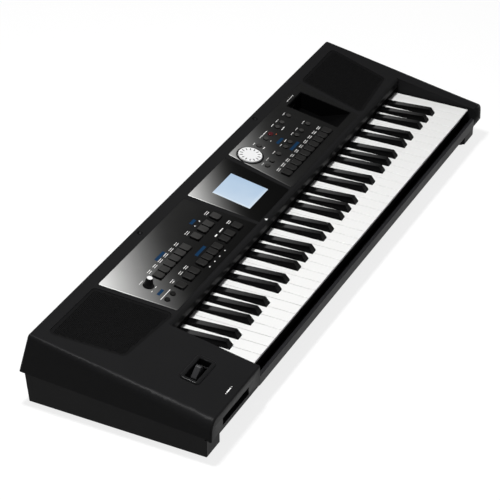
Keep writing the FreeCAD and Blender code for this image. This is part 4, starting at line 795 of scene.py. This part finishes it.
def add_turned(mesh: bmesh.types.BMesh, profile: Profile, steps: int, place: Matrix) -> None:
    """Add a profile of (radius, height), turned about the upright axis of a place.

    Args:
        mesh: The mesh to add to.
        profile: Its points, from axis to axis, or back to the first point for a ring.
        steps: Steps round the axis.
        place: Where it goes.
    """
    verts = [mesh.verts.new(place @ Vector((radius, 0, height))) for radius, height in profile]
    edges = [mesh.edges.new(pair) for pair in zip(verts, verts[1:])]
    bmesh.ops.spin(mesh, geom=verts + edges, cent=place.translation, axis=place.to_3x3() @ Vector((0, 0, 1)),
                   angle=math.tau, steps=steps, use_merge=True)
    bmesh.ops.remove_doubles(mesh, verts=mesh.verts, dist=MERGE_DISTANCE)
    bmesh.ops.recalc_face_normals(mesh, faces=mesh.faces)


def turned(profile: Profile, steps: int) -> bmesh.types.BMesh:
    """Turn a profile of (radius, height) about the upright axis.

    Args:
        profile: Its points, from axis to axis.
        steps: Steps round the axis.

    Returns:
        The closed shape.
    """
    mesh = bmesh.new()
    add_turned(mesh, profile, steps, Matrix())
    return mesh


@dataclass
class Case:
    """The upper and lower case, the rail in front of the keys, the feet and the screws."""

    shop: Workshop
    rim_round: float = 0.0006
    lower_round: float = 0.0012
    slip_round: float = 0.0010
    foot_round: float = 0.0012
    plane_slack: float = 0.00005
    least_edge: float = 0.0012
    long_edge: float = 0.1
    ground: float = 0.001
    slot_length: float = 0.0036
    slot_width: float = 0.0008
    slot_thick: float = 0.0002
    head_sides: int = 8
    shade_strip_thick: float = 0.0028
    shade_strip_low: float = 0.0050
    shade_strip_high: float = 0.0126

    def build(self) -> None:
        """Build the pieces."""
        self.build_upper()
        self.build_nose_shade_strip()
        shop = self.shop
        shop.softened("bottom_case", Paint.LOWER_CASE.value, self.lower_round,
                      lambda edge: sharp(edge, 20) and edge.calc_length() > 4 * self.lower_round, 3)
        shop.softened("key_slip", Paint.SLIP.value, self.slip_round,
                      lambda edge: sharp(edge) and edge.calc_length() > self.long_edge)
        shop.softened("rubber_feet", Paint.RUBBER.value, self.foot_round,
                      lambda edge: sharp(edge) and max(end.z for end in ends(edge)) < self.ground)
        self.build_screws()

    def build_upper(self) -> None:
        """Build the deck and the two cheeks of the upper case, with the rims of its openings softened."""
        shop = self.shop
        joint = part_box("end_cheeks")[1].y

        def rim(edge: bmesh.types.BMEdge) -> bool:
            """Say whether an edge is a rim of the top surface, and not where the deck meets a cheek."""
            return (sharp(edge, 50) and edge.calc_length() > self.least_edge
                    and shop.slope.carries(edge, self.plane_slack)
                    and any(abs(end.y - joint) > self.plane_slack for end in ends(edge)))

        for node in ("top_case", "end_cheeks"):
            shop.softened(node, Paint.CASE.value, self.rim_round, rim, 2)

    def build_nose_shade_strip(self) -> None:
        """Build a flat black strip that hangs from the deck's front edge, just over the black keys, as painted
        shade: it stands in for the shade under that edge.
        """
        low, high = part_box("key_c")
        depth, middle = self.shade_strip_high - self.shade_strip_low, high.z + (self.shade_strip_high + self.shade_strip_low) / 2
        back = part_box("end_cheeks")[1].y + self.shade_strip_thick / 2
        mesh = bmesh.new()
        add_block(mesh, (high.x - low.x, self.shade_strip_thick, depth),
                  Matrix.Translation(((low.x + high.x) / 2, back, middle)))
        self.shop.soften(mesh, self.shade_strip_thick / 4, sharp, 2)
        self.shop.piece("nose_shade_strip", mesh, Paint.SHADE_STRIP_BLACK.value)

    def build_screws(self) -> None:
        """Build the screws with crossed slots in their heads."""
        shop = self.shop
        shop.dress("case_screws", Paint.STEEL.value)
        mesh = bmesh.new()
        copy = shop.copy("case_screws")
        low = min(vert.co.z for vert in copy.verts)
        for face in copy.faces:
            middle = face.calc_center_median()
            if (face.normal.z < -FACING and abs(middle.z - low) < LEVEL_SLACK
                    and len(face.verts) > self.head_sides):
                for size in ((self.slot_length, self.slot_width), (self.slot_width, self.slot_length)):
                    add_block(mesh, (*size, self.slot_thick), Matrix.Translation(middle))
        copy.free()
        shop.piece("screw_slots", mesh, Paint.INNER.value)


@dataclass
class Keys:
    """The white and the black keys."""

    shop: Workshop
    white_round: float = 0.0007
    black_round: float = 0.0018
    crest_start: float = 0.0063
    crest_end: float = -0.012
    crest_fall: float = 4.2
    black: Colour = (0.0030, 0.0030, 0.0032)
    over_white: float = 0.002
    slack: float = 0.0001

    def build(self) -> None:
        """Build the pieces."""
        for node in frame["record"]["behaviour"]["bodies"]:
            if node.startswith("key_"):
                self.build_black(node) if node.endswith("_sharp") else self.build_white(node)

    def build_white(self, node: str) -> None:
        """Build one note's white keys, with the edges of their tops rounded."""
        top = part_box(node)[1].z
        self.shop.softened(node, Paint.WHITE_KEY.value, self.white_round,
                           lambda edge: sharp(edge) and min(end.z for end in ends(edge)) > top - self.slack)

    def build_black(self, node: str) -> None:
        """Build one note's black keys, with the edges of their crests and sloped fronts rounded.

        Args:
            node: The note's node.
        """
        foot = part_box("key_c")[1].z
        low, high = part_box(node)
        finish = KeyBlack("black_key_plastic", "key_black", self.black, low.y + self.crest_start,
                          self.crest_end, high.z, math.radians(self.crest_fall))
        self.shop.softened(node, finish, self.black_round,
                           lambda edge: sharp(edge, 15) and min(end.z for end in ends(edge)) > foot
                           and max(end.z for end in ends(edge)) > foot + self.over_white, 4)


@dataclass
class Panels:
    """The three panels, with a painted reflection that fades from silver to charcoal, and the marks printed on
    them.
    """

    shop: Workshop
    edge_round: float = 0.0003
    ink: float = 0.00006
    line_high: float = 0.0010
    line_gap: float = 0.0031
    block_high: float = 0.0052
    dot: float = 0.0011
    button_pitch: float = 0.0171
    least_edge: float = 0.002
    reach: tuple[float, float] = (0.75, 1.0)
    run: tuple[float, float] = (0.0018, 0.0042)
    least_run: float = 0.0006
    space: float = 0.0005
    seed: int = 7

    def build(self) -> None:
        """Build the pieces."""
        self.rng = random.Random(self.seed)
        # Left edge, brightest level of the painted reflection, its fall to the right and to the front, slant,
        # darkest level and its lift.
        looks = {"left_panel": (-0.3514, 0.88, 3.80, 4.40, 0.170, 0.095, 0.52),
                 "middle_panel": (-0.066, 0.81, 5.4, 6.8, 0.0896, 0.070, 0.05),
                 "right_panel": (0.078, 0.645, 4.0, 4.7, -0.1222, 0.135, 0.06)}
        for node, (left, *look) in looks.items():
            # Each panel's paint carries a painted reflection and a painted highlight along its left edge.
            paint = PanelPaintedReflection(f"{node}_paint", "panel_silver", left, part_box(node)[1].y, *look)
            self.shop.softened(node, paint, self.edge_round,
                               lambda edge: sharp(edge) and edge.calc_length() > self.least_edge
                               and self.shop.slope.carries(edge, LEVEL_SLACK), 2)
        self.build_marks()

    def bar(self, mesh: bmesh.types.BMesh, x: float, y: float, wide: float, high: float) -> None:
        """Print a plain bar about a point, x across the case and y from front to back."""
        up = y / math.cos(self.shop.slope.tilt)
        add_block(mesh, (wide, high, self.ink), self.shop.slope.matrix(x, up, self.ink / 2))

    def words(self, mesh: bmesh.types.BMesh, x: float, y: float, wide: float, lines: int = 1) -> None:
        """Print lines of short bars where a label stands.

        Args:
            mesh: The print to add to.
            x: The label's middle across the case.
            y: Its middle from front to back.
            wide: Its width.
            lines: Its number of lines.
        """
        for line in range(lines):
            level = y + (line - (lines - 1) / 2) * self.line_gap
            reach = wide * self.rng.uniform(*self.reach)
            start = x - reach / 2
            while start < x + reach / 2 - self.least_run:
                run = min(self.rng.uniform(*self.run), x + reach / 2 - start)
                self.bar(mesh, start + run / 2, level, run, self.line_high)
                start += run + self.space

    def build_marks(self) -> None:
        """Print the marks beside the controls."""
        white, blue, orange = bmesh.new(), bmesh.new(), bmesh.new()
        pitch = self.button_pitch
        for x in [-0.276 + step * pitch for step in range(6)] + [-0.1543, -0.0888]:
            self.words(white, x, 0.0735, 0.0115, 2)
        for x in (-0.2749, -0.2490, -0.2318, -0.0876):
            self.words(white, x, 0.0348, 0.0110, 2)
        for x in (-0.2068, -0.1899, -0.1736, -0.1557):
            self.bar(white, x, 0.0066, 0.0030, 0.0016)
        for step in range(10):
            self.words(white, 0.0941 + step * pitch, 0.0350, 0.0115, 2)
        for x, y, wide, high in ((-0.1308, 0.0350, 0.0070, 0.0022), (-0.1134, 0.0350, 0.0125, 0.0017),
                                 (-0.3092, 0.0284, 0.0300, 0.0010), (0.1680, 0.1000, 0.0270, 0.0010),
                                 (-0.3028, 0.0482, 0.0040, 0.0010), (-0.3155, 0.0478, 0.0040, 0.0010),
                                 (-0.4420, -0.1460, 0.0125, 0.0019), (-0.4512, -0.1460, 0.0016, 0.0016),
                                 (-0.4328, -0.1460, 0.0016, 0.0016)):
            self.bar(white, x, y, wide, high)
        self.words(white, 0.2978, 0.1125, 0.0255)
        self.words(white, -0.3072, 0.0710, 0.012)
        for x in (0.1334, 0.2033, 0.2207, 0.2465):
            self.words(white, x, 0.1000, 0.0105)
        for x in (0.0910, 0.1084, 0.1334, 0.1595, 0.1769, 0.2033, 0.2207, 0.2465):
            self.words(white, x, 0.0630, 0.0100)
        for x, wide in ((0.1334, 0.0070), (0.1595, 0.0024), (0.2033, 0.0050), (0.2095, 0.0050)):
            self.bar(white, x, 0.0818, wide, 0.0014)
        for x, y, wide in ((-0.1231, 0.0802, 0.015), (-0.2324, 0.0794, 0.027), (-0.1814, 0.0361, 0.030),
                           (-0.3092, 0.0369, 0.016), (0.1698, 0.0699, 0.020), (0.1729, 0.0438, 0.030)):
            self.bar(blue, x, y, wide, self.block_high)
        for mesh, x, y, sides in ((white, -0.1146, 0.0728, 16), (white, -0.1304, 0.0726, 16),
                                  (orange, 0.1840, 0.0835, 12), (white, -0.0418, -0.0088, 3)):
            place = self.shop.slope.matrix(x, y / math.cos(self.shop.slope.tilt), 0)
            add_disc(mesh, self.dot if sides > 3 else 2.8 * self.dot, self.ink, place, sides)
        for name, mesh, paint in (("white_marks", white, Paint.INK_WHITE), ("blue_marks", blue, Paint.INK_BLUE),
                                  ("orange_mark", orange, Paint.INK_ORANGE)):
            self.shop.piece(name, mesh, paint.value)


@dataclass
class Buttons:
    """The strips of square buttons and the round buttons."""

    shop: Workshop
    front_corner: float = 0.0036
    back_corner: float = 0.0009
    top_round: float = 0.0011
    round_edge: float = 0.0008
    # Tops of the back and the front row: the back row's paler tops are painted light, the front row's near-black
    # tops are the octave buttons' own black.
    round_tones_with_painted_light: tuple[float, float] = (0.045, 0.009)
    taper: float = 0.0010
    clear: float = 0.001
    least_rise: float = 0.002
    slack: float = 0.00005

    def build(self) -> None:
        """Build the pieces."""
        for node in ("style_buttons", "tempo_buttons", "intro_buttons", "variation_buttons", "ending_buttons",
                     "tone_buttons"):
            self.build_square(node)
        for node in ("octave_buttons", "menu_buttons", "part_buttons"):
            self.build_round(node, self.caps(node, "round_button", *self.round_tones_with_painted_light))
        self.build_round("record_button", Paint.RECORD.value)

    def caps(self, node: str, slot: str, *tones: float) -> CapPlasticPaintedLight:
        """Give the finish of a node's caps, with its own tones for the tops of the back and the front row, painted
        paler at the back over walls with painted shade.
        """
        slope = self.shop.slope
        return CapPlasticPaintedLight(f"{slot}_plastic", slot, slope.tilt, slope.height, slope.span(node)[1].z, *tones)

    def build_round(self, node: str, finish: Finish) -> None:
        """Build round buttons with softened rims."""
        self.shop.softened(node, finish, self.round_edge,
                           lambda edge: sharp(edge) and self.shop.slope.clears(edge, self.clear))

    def build_square(self, node: str) -> None:
        """Build a strip of square buttons with rounded front corners and soft tops.

        Args:
            node: The strip's node.
        """
        shop = self.shop
        mesh = shop.copy(node)

        def upright(edge: bmesh.types.BMEdge, front: bool) -> bool:
            """Say whether an edge is an upright corner of a cap.

            Args:
                edge: The edge.
                front: Whether to look for front corners, and not for back ones.

            Returns:
                Whether it is.
            """
            low, high = sorted((shop.slope.local(end) for end in ends(edge)), key=lambda point: point.z)
            middles = [shop.slope.local(face.calc_center_median()).y for face in edge.link_faces]
            rises = high.z > self.clear and high.z - low.z > self.least_rise
            return rises and sharp(edge) and (low.y < sum(middles) / 2) == front

        top = max(shop.slope.local(vert.co).z for vert in mesh.verts)
        for face in mesh.faces:
            if all(shop.slope.clears(edge, top - self.slack) for edge in face.edges):
                middle = face.calc_center_median().x
                for vert in face.verts:
                    vert.co.x -= math.copysign(self.taper, vert.co.x - middle)
        shop.soften(mesh, self.front_corner, lambda edge: upright(edge, True), 5)
        shop.soften(mesh, self.back_corner, lambda edge: upright(edge, False), 2)
        shop.soften(mesh, self.top_round,
                    lambda edge: sharp(edge) and shop.slope.clears(edge, top - self.slack))
        shop.piece(f"{node}_finished", mesh, self.caps(node, "button_grey"), shop.carrier[node], [node])


@dataclass
class RotaryControls:
    """The white value dial in its dark collar, and the volume knob."""

    shop: Workshop
    dial_edge: float = 0.0009
    dial_dish: float = 0.0005
    dial_steps: int = 96
    dial_sink: float = 0.0015
    dial_thick: float = 0.0030
    shaft: float = 0.003
    mark_count: int = 14
    mark_inset: float = 0.0047
    mark_long: float = 0.0066
    mark_wide: float = 0.0017
    mark_thick: float = 0.00012
    mark_sides: int = 20
    knob_gap: float = 0.0003
    knob_skirt: Profile = ((-0.0006, 0.0), (0.0, 0.0004), (-0.0002, 0.0010))
    knob_wall: Profile = ((0.0074, 0.0024), (0.0067, 0.0036), (0.0062, 0.0070), (0.0056, 0.0110))
    knob_crown: Profile = ((0.0052, -0.0008), (0.0046, 0.0))
    knob_flutes: int = 18
    flute_depth: float = 0.0004
    flute_foot: float = 0.003
    flute_crown: float = 0.0006
    flute_core: float = 0.004
    cap_radius: float = 0.0044
    cap_thick: float = 0.00005
    cap_sink: float = 0.00003
    cap_sides: int = 40
    collar_round: float = 0.0005

    def build(self) -> None:
        """Build the pieces."""
        self.shop.softened("dial_collar", Paint.COLLAR.value, self.collar_round, sharp, 3)
        self.build_dial()
        self.build_knob()

    def build_dial(self) -> None:
        """Build the dial, its shaft and the dark marks near its rim."""
        low, high = self.shop.slope.span("value_dial")
        middle = (low + high) / 2
        radius = (high.x - low.x) / 2
        edge, dish, shaft = self.dial_edge, self.dial_dish, self.shaft
        top = high.z - low.z - self.dial_sink
        foot = top - self.dial_thick
        mesh = turned([
            (0, 0), (shaft, 0), (shaft, foot), (radius - edge / 2, foot), (radius, foot + edge / 2),
            (radius, top - edge), (radius - edge * 0.3, top - edge * 0.3), (radius - edge, top),
            (radius - 2 * edge, top - dish * 0.3), (radius - 3 * edge, top - dish), (0, top - dish),
        ], self.dial_steps)
        place = self.shop.slope.matrix(middle.x, middle.y, low.z)
        mesh.transform(place)
        self.shop.piece("value_dial_finished", mesh, Paint.DIAL.value, "value_dial", ["value_dial"])
        marks = bmesh.new()
        level = top - dish
        for step in range(self.mark_count):
            turn = Matrix.Rotation(math.tau * step / self.mark_count, 4, "Z")
            spot = turn @ Matrix.Translation((radius - self.mark_inset, 0, level))
            oval = Matrix.Diagonal((self.mark_long / 2, self.mark_wide / 2, 1, 1))
            add_disc(marks, 1.0, self.mark_thick, place @ spot @ oval, self.mark_sides)
        self.shop.piece("dial_marks", marks, Paint.DIAL_MARK.value, "value_dial")

    def build_knob(self) -> None:
        """Build the knob with its flared skirt, flutes and bright cap."""
        low, high = self.shop.slope.span("volume_knob")
        middle = (low + high) / 2
        skirt, top = (high.x - low.x) / 2, high.z - low.z
        foot = -low.z + self.knob_gap
        mesh = turned([
            (0, 0), (self.shaft, 0), (self.shaft, foot),
            *((skirt + step, foot + rise) for step, rise in self.knob_skirt),
            *((radius, foot + rise) for radius, rise in self.knob_wall),
            *((radius, top + rise) for radius, rise in self.knob_crown), (0, top),
        ], self.knob_flutes * 4)
        for vert in mesh.verts:
            radius = math.hypot(vert.co.x, vert.co.y)
            if foot + self.flute_foot < vert.co.z < top - self.flute_crown and radius > self.flute_core:
                wave = math.cos(math.atan2(vert.co.y, vert.co.x) * self.knob_flutes)
                scale = 1 - self.flute_depth / radius * (0.5 - 0.5 * wave)
                vert.co.x, vert.co.y = vert.co.x * scale, vert.co.y * scale
        place = self.shop.slope.matrix(middle.x, middle.y, low.z)
        mesh.transform(place)
        self.shop.piece("volume_knob_finished", mesh, Paint.KNOB.value, "volume_knob", ["volume_knob"])
        cap = bmesh.new()
        add_disc(cap, self.cap_radius, self.cap_thick,
                 place @ Matrix.Translation((0, 0, top - self.cap_sink)), self.cap_sides)
        self.shop.piece("knob_cap", cap, Paint.KNOB_CAP.value, "volume_knob")


@dataclass
class Display:
    """The lit display and its module."""

    shop: Workshop
    edge_round: float = 0.0002

    def build(self) -> None:
        """Build the pieces."""
        low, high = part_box("display_window")
        screen = LitScreen("lit_screen", "display_glass", low.x, high.x, low.y)
        self.shop.softened("display_window", screen, self.edge_round, sharp, 2)
        self.shop.dress("display_module", Paint.MODULE.value)


@dataclass
class Speakers:
    """The perforated grilles and the speakers under them."""

    shop: Workshop
    pitch: float = 0.0024
    hole: float = 0.0016
    margin: float = 0.0050
    thick: float = 0.0012
    border_share: float = 0.9

    def build(self) -> None:
        """Build the pieces."""
        copy, slope = self.shop.copy("speaker_grilles"), self.shop.slope
        faces = [face for face in copy.faces if slope.local(face.calc_center_median() + face.normal).z
                 > slope.local(face.calc_center_median()).z + FACING]
        outlines = [[slope.local(vert.co) for vert in face.verts] for face in faces]
        copy.free()
        for name, outline in zip(("left_grille", "right_grille"),
                                 sorted(outlines, key=lambda points: points[0].x)):
            self.build_grille(name, outline)
        self.shop.dress("speaker_frames", Paint.SPEAKER.value)
        self.shop.dress("speaker_cones", Paint.CONE.value)

    def inside(self, point: Vector, outline: Sequence[Vector]) -> bool:
        """Say whether a point lies within an outline, clear of its edge.

        Args:
            point: The point.
            outline: The outline's corners, in order and anticlockwise.

        Returns:
            Whether it does.
        """
        for start, end in zip(outline, [*outline[1:], outline[0]]):
            along = end - start
            if (along.x * (point.y - start.y) - along.y * (point.x - start.x)) / along.length < self.margin:
                return False
        return True

    def build_grille(self, name: str, outline: Sequence[Vector]) -> None:
        """Build a grille plate with a field of round holes.

        Args:
            name: The piece's name.
            outline: Its outline on the panel, at the level of its top.
        """
        mesh = bmesh.new()
        level = outline[0].z
        lows = [min(point[axis] for point in outline) for axis in range(2)]
        highs = [max(point[axis] for point in outline) for axis in range(2)]
        counts = [int((high - low) / self.pitch) for low, high in zip(lows, highs)]
        for column in range(counts[0]):
            for row in range(counts[1]):
                spot = Vector((lows[0] + (column + 0.5) * self.pitch, lows[1] + (row + 0.5) * self.pitch,
                               level))
                if self.inside(spot, outline):
                    self.add_cell(mesh, spot)
        bmesh.ops.remove_doubles(mesh, verts=mesh.verts, dist=LEVEL_SLACK)
        border = [edge for edge in mesh.edges if edge.is_boundary and max(
            abs(edge.verts[0].co.x - edge.verts[1].co.x), abs(edge.verts[0].co.y - edge.verts[1].co.y))
            > self.pitch * self.border_share]
        rim = [mesh.verts.new((point.x, point.y, level)) for point in outline]
        border += [mesh.edges.new(pair) for pair in zip(rim, [*rim[1:], rim[0]])]
        bmesh.ops.triangle_fill(mesh, use_beauty=True, edges=border, normal=(0, 0, 1))
        bmesh.ops.recalc_face_normals(mesh, faces=mesh.faces)
        if sum(face.normal.z for face in mesh.faces) < 0:
            bmesh.ops.reverse_faces(mesh, faces=mesh.faces)
        bmesh.ops.solidify(mesh, geom=list(mesh.faces), thickness=self.thick)
        mesh.transform(self.shop.slope.matrix())
        self.shop.piece(name, mesh, Paint.GRILLE.value, replaces=["speaker_grilles"])

    def add_cell(self, mesh: bmesh.types.BMesh, spot: Vector) -> None:
        """Add one square cell with a round hole, two of whose eight sides face each side of the cell.

        Args:
            mesh: The plate.
            spot: The cell's middle.
        """
        half, sides = self.pitch / 2, 8
        corners = [mesh.verts.new(spot + Vector((x * half, y * half, 0)))
                   for x, y in ((-1, -1), (1, -1), (1, 1), (-1, 1))]
        turn = Matrix.Rotation(math.pi * 1.25, 4, "Z")
        made = bmesh.ops.create_circle(mesh, segments=sides, radius=self.hole / 2,
                                       matrix=Matrix.Translation(spot) @ turn)
        ring = sorted(made["verts"], key=lambda vert: math.atan2(vert.co.y - spot.y, vert.co.x - spot.x))
        start = min(range(sides), key=lambda index: (ring[index].co - corners[0].co).length)
        ring = ring[start:] + ring[:start]
        for side, corner in enumerate(corners):
            first = side * 2
            mesh.faces.new((corner, corners[(side + 1) % 4], ring[(first + 2) % sides], ring[first + 1],
                            ring[first]))


@dataclass
class BendLever:
    """The bend lever, its bezel and what carries it."""

    shop: Workshop
    bezel_round: float = 0.0022
    lever_round: float = 0.0012
    bezel_foot: float = 0.002
    lever_foot: float = -0.007

    def build(self) -> None:
        """Build the pieces."""
        shop = self.shop
        shop.softened("bender_bezel", Paint.BEZEL.value, self.bezel_round,
                      lambda edge: sharp(edge) and shop.slope.clears(edge, self.bezel_foot), 4)
        shop.softened("bend_lever", Paint.LEVER.value, self.lever_round,
                      lambda edge: sharp(edge, 20) and shop.slope.clears(edge, self.lever_foot), 3)
        shop.dress("bender_base", Paint.INNER.value)
        shop.dress("bend_yoke", Paint.INNER.value)


@dataclass
class MemoryRecess:
    """The recess for a memory stick, with its socket."""

    shop: Workshop
    edge_round: float = 0.0005
    rim_level: float = -0.0001
    tongue_wide: float = 0.0092
    tongue_thick: float = 0.0018
    tongue_share: float = 0.8
    tongue_back: float = 0.002
    tongue_up: float = 0.0009

    def build(self) -> None:
        """Build the pieces."""
        shop = self.shop
        shop.softened("memory_tray", Paint.TRAY_BLACK_AND_SHADE.value, self.edge_round,
                      lambda edge: sharp(edge) and shop.slope.clears(edge, self.rim_level), 2)
        shop.dress("usb_socket", Paint.NICKEL.value)
        low, high = shop.slope.span("usb_socket")
        deep = (high.y - low.y) * self.tongue_share
        mesh = bmesh.new()
        add_block(mesh, (self.tongue_wide, deep, self.tongue_thick),
                  shop.slope.matrix((low.x + high.x) / 2, high.y - self.tongue_back - deep / 2,
                                    (low.z + high.z) / 2 + self.tongue_up))
        shop.piece("usb_tongue", mesh, Paint.INNER.value)


@dataclass
class RearField:
    """The rear plate with its jacks, sockets and power button, and the phone jacks at the front."""

    shop: Workshop
    edge_round: float = 0.0003
    power_round: float = 0.0008
    least_edge: float = 0.002
    nut_radius: float = 0.0062
    nut_thick: float = 0.0009
    nut_bevel: float = 0.0003
    nut_sides: int = 36
    rest_radius: float = 0.0046
    proud: float = 0.0002
    clear: float = 0.00015
    foot: float = 0.0005

    def build(self) -> None:
        """Build the pieces."""
        shop = self.shop
        shop.softened("rear_plate", Paint.REAR.value, self.edge_round,
                      lambda edge: sharp(edge) and edge.calc_length() > self.least_edge, 2)
        shop.dress("computer_socket", Paint.NICKEL.value)
        for node in ("phone_jacks", "dc_inlet", "power_switch_body"):
            shop.dress(node, Paint.INNER.value)
        shop.softened("power_button", Paint.KNOB.value, self.power_round, sharp, 3)
        self.build_nuts()

    def build_nuts(self) -> None:
        """Build bright nuts round the jacks' mouths, and dark rings and plugs for the music rest's holes."""
        for name, starts, outer, paint, plugged in (
                ("jack_nuts", ("output_", "phone_"), self.nut_radius, Paint.NICKEL, False),
                ("rest_rings", ("rest_",), self.rest_radius, Paint.SHADE_STRIP_BLACK, True)):
            mesh = bmesh.new()
            for mount in frame["record"]["mounts"]:
                if mount["name"].startswith(starts):
                    radius, length = mount["dims"]["r_mm"] / 1000, mount["dims"]["length_mm"] / 1000
                    axis = Vector(mount["axis"]).normalized()
                    mouth = Vector(mount["pos_m"]) + axis * (length / 2 + self.proud)
                    place = Matrix.Translation(mouth) @ axis.to_track_quat("Z", "Y").to_matrix().to_4x4()
                    self.add_ring(mesh, radius + self.clear, outer, place)
                    if plugged:
                        add_disc(mesh, radius, self.nut_thick,
                                 place @ Matrix.Translation((0, 0, self.foot - length)))
            self.shop.piece(name, mesh, paint.value)

    def add_ring(self, mesh: bmesh.types.BMesh, bore: float, outer: float, place: Matrix) -> None:
        """Add one ring with a bevelled rim.

        Args:
            mesh: The rings.
            bore: The radius of the hole's mouth.
            outer: The ring's radius.
            place: The mouth.
        """
        thick, bevel = self.nut_thick, self.nut_bevel
        add_turned(mesh, [(bore, -thick), (outer, -thick), (outer, -bevel), (outer - bevel, 0),
                          (bore + bevel, 0), (bore, -bevel), (bore, -thick)], self.nut_sides, place)


@dataclass
class Inside:
    """What the case holds out of sight."""

    shop: Workshop

    def build(self) -> None:
        """Dress the pieces."""
        for node, paint in {"keybed_frame": Paint.INNER, "key_pivot_rod": Paint.STEEL,
                            "key_springs": Paint.STEEL, "key_felt": Paint.FELT, "contact_board": Paint.BOARD,
                            "contact_rubber": Paint.RUBBER, "main_board": Paint.BOARD,
                            "panel_boards": Paint.BOARD, "rotary_bodies": Paint.MODULE}.items():
            self.shop.dress(node, paint.value)


@dataclass
class Studio:
    """A white floor, soft lamps and the camera."""

    azimuth: float = -63.62
    elevation: float = 33.11
    roll: float = 0.27
    distance: float = 3.33692
    target: Point = (-0.07832, 0.00164, 0.060)
    lens: float = 151.17
    sensor: float = 36.0
    floor_size: float = 40.0
    floor_drop: float = 0.0002
    paper: float = 0.22
    glow: float = 0.82
    sky: tuple[tuple[float, float], ...] = ((0, 1.0), (0.03, 1.0), (0.14, 0.08), (0.80, 0.08), (0.96, 0.40))
    window: Point = (0.750, 0.448, 0.486)
    window_edge: float = 0.982
    window_level: float = 12.0
    lamps: tuple[tuple[str, Point, float, float], ...] = (("key_lamp", (-0.5, 0.16, 2.42), 0.30, 55),
                                                          ("fill_lamp", (0.9, -2.2, 1.3), 1.2, 3))

    def build(self) -> None:
        """Set up the floor, the lamps, the world and the camera."""
        self.build_camera()
        self.build_floor()
        self.build_world()
        for lamp in self.lamps:
            self.add_lamp(*lamp)
        bpy.context.scene.view_settings.view_transform = "Standard"

    def build_camera(self) -> None:
        """Set up the camera as the photograph has it."""
        turn, lift, roll = (math.radians(angle) for angle in (self.azimuth, self.elevation, self.roll))
        back = Vector((math.sin(turn) * math.cos(lift), -math.cos(turn) * math.cos(lift), math.sin(lift)))
        right = Vector((math.cos(turn), math.sin(turn), 0))
        upward = back.cross(right)
        across = right * math.cos(roll) + upward * math.sin(roll)
        rise = upward * math.cos(roll) - right * math.sin(roll)
        data = bpy.data.cameras.new("camera")
        data.lens, data.sensor_width = self.lens, self.sensor
        item = placed("camera", data)
        turned_axes = Matrix((across, rise, back)).transposed().to_4x4()
        item.matrix_world = Matrix.Translation(Vector(self.target) + back * self.distance) @ turned_axes
        bpy.context.scene.camera = item

    def build_floor(self) -> None:
        """Lay a white floor that keeps the shadow."""
        mesh = bmesh.new()
        bmesh.ops.create_grid(mesh, x_segments=1, y_segments=1, size=self.floor_size / 2,
                              matrix=Matrix.Translation((0, 0, -self.floor_drop)))
        data = bpy.data.meshes.new("floor")
        mesh.to_mesh(data)
        mesh.free()
        item = placed("floor", data)
        graph = Graph.named("floor_paper")
        seen = graph.node("ShaderNodeLightPath", output="Is Camera Ray")
        for kind in ("Is Glossy Ray", "Is Transmission Ray"):
            seen = seen.math("MAXIMUM", graph.node("ShaderNodeLightPath", output=kind))
        paper = graph.node("ShaderNodeBsdfDiffuse", sockets={"Color": (self.paper, self.paper, self.paper, 1)})
        glow = graph.node("ShaderNodeEmission", sockets={"Color": (1, 1, 1, 1), "Strength": seen * self.glow})
        graph.close(graph.node("ShaderNodeAddShader", sockets={0: paper, 1: glow}))
        data.materials.append(graph.owner)

    def build_world(self) -> None:
        """Light the scene from a white horizon, a dim sky, a brighter zenith and a soft window behind."""
        world = bpy.data.worlds.new("studio")
        graph = Graph(world)
        aim = graph.node("ShaderNodeTexCoord", output="Generated")
        height = graph.node("ShaderNodeSeparateXYZ", sockets={0: aim}, output=2)
        stops = [(place, (level, level, level)) for place, level in self.sky]
        colour = graph.node("ShaderNodeValToRGB", {"stops": stops}, {0: height})
        towards = graph.node("ShaderNodeVectorMath", {"operation": "DOT_PRODUCT"},
                             {0: aim, 1: Vector(self.window).normalized()}, output="Value")
        pane = ((towards - self.window_edge) / (1 - self.window_edge)).at_least(0) * self.window_level
        graph.close(graph.node("ShaderNodeBackground", sockets={"Color": colour, "Strength": pane + 1}))
        bpy.context.scene.world = world

    def add_lamp(self, name: str, place: Sequence[float], size: float, power: float) -> None:
        """Add a square soft lamp that faces the instrument.

        Args:
            name: The lamp's name.
            place: Where it hangs.
            size: Its width.
            power: Its power in watts.
        """
        data = bpy.data.lights.new(name, "AREA")
        data.shape, data.size, data.energy = "SQUARE", size, power
        item = placed(name, data)
        item.location = place
        item.rotation_euler = (Vector(self.target) - Vector(place)).to_track_quat("-Z", "Y").to_euler()


def main() -> None:
    """Build the studio and every sub-assembly."""
    logging.basicConfig(level=logging.INFO, format="%(name)s: %(message)s")
    Studio().build()
    shop = Workshop()
    for assembly in (Case, Keys, Panels, Buttons, RotaryControls, Display, Speakers, BendLever, MemoryRecess,
                     RearField, Inside):
        assembly(shop).build()


if __name__ == "__main__":
    main()
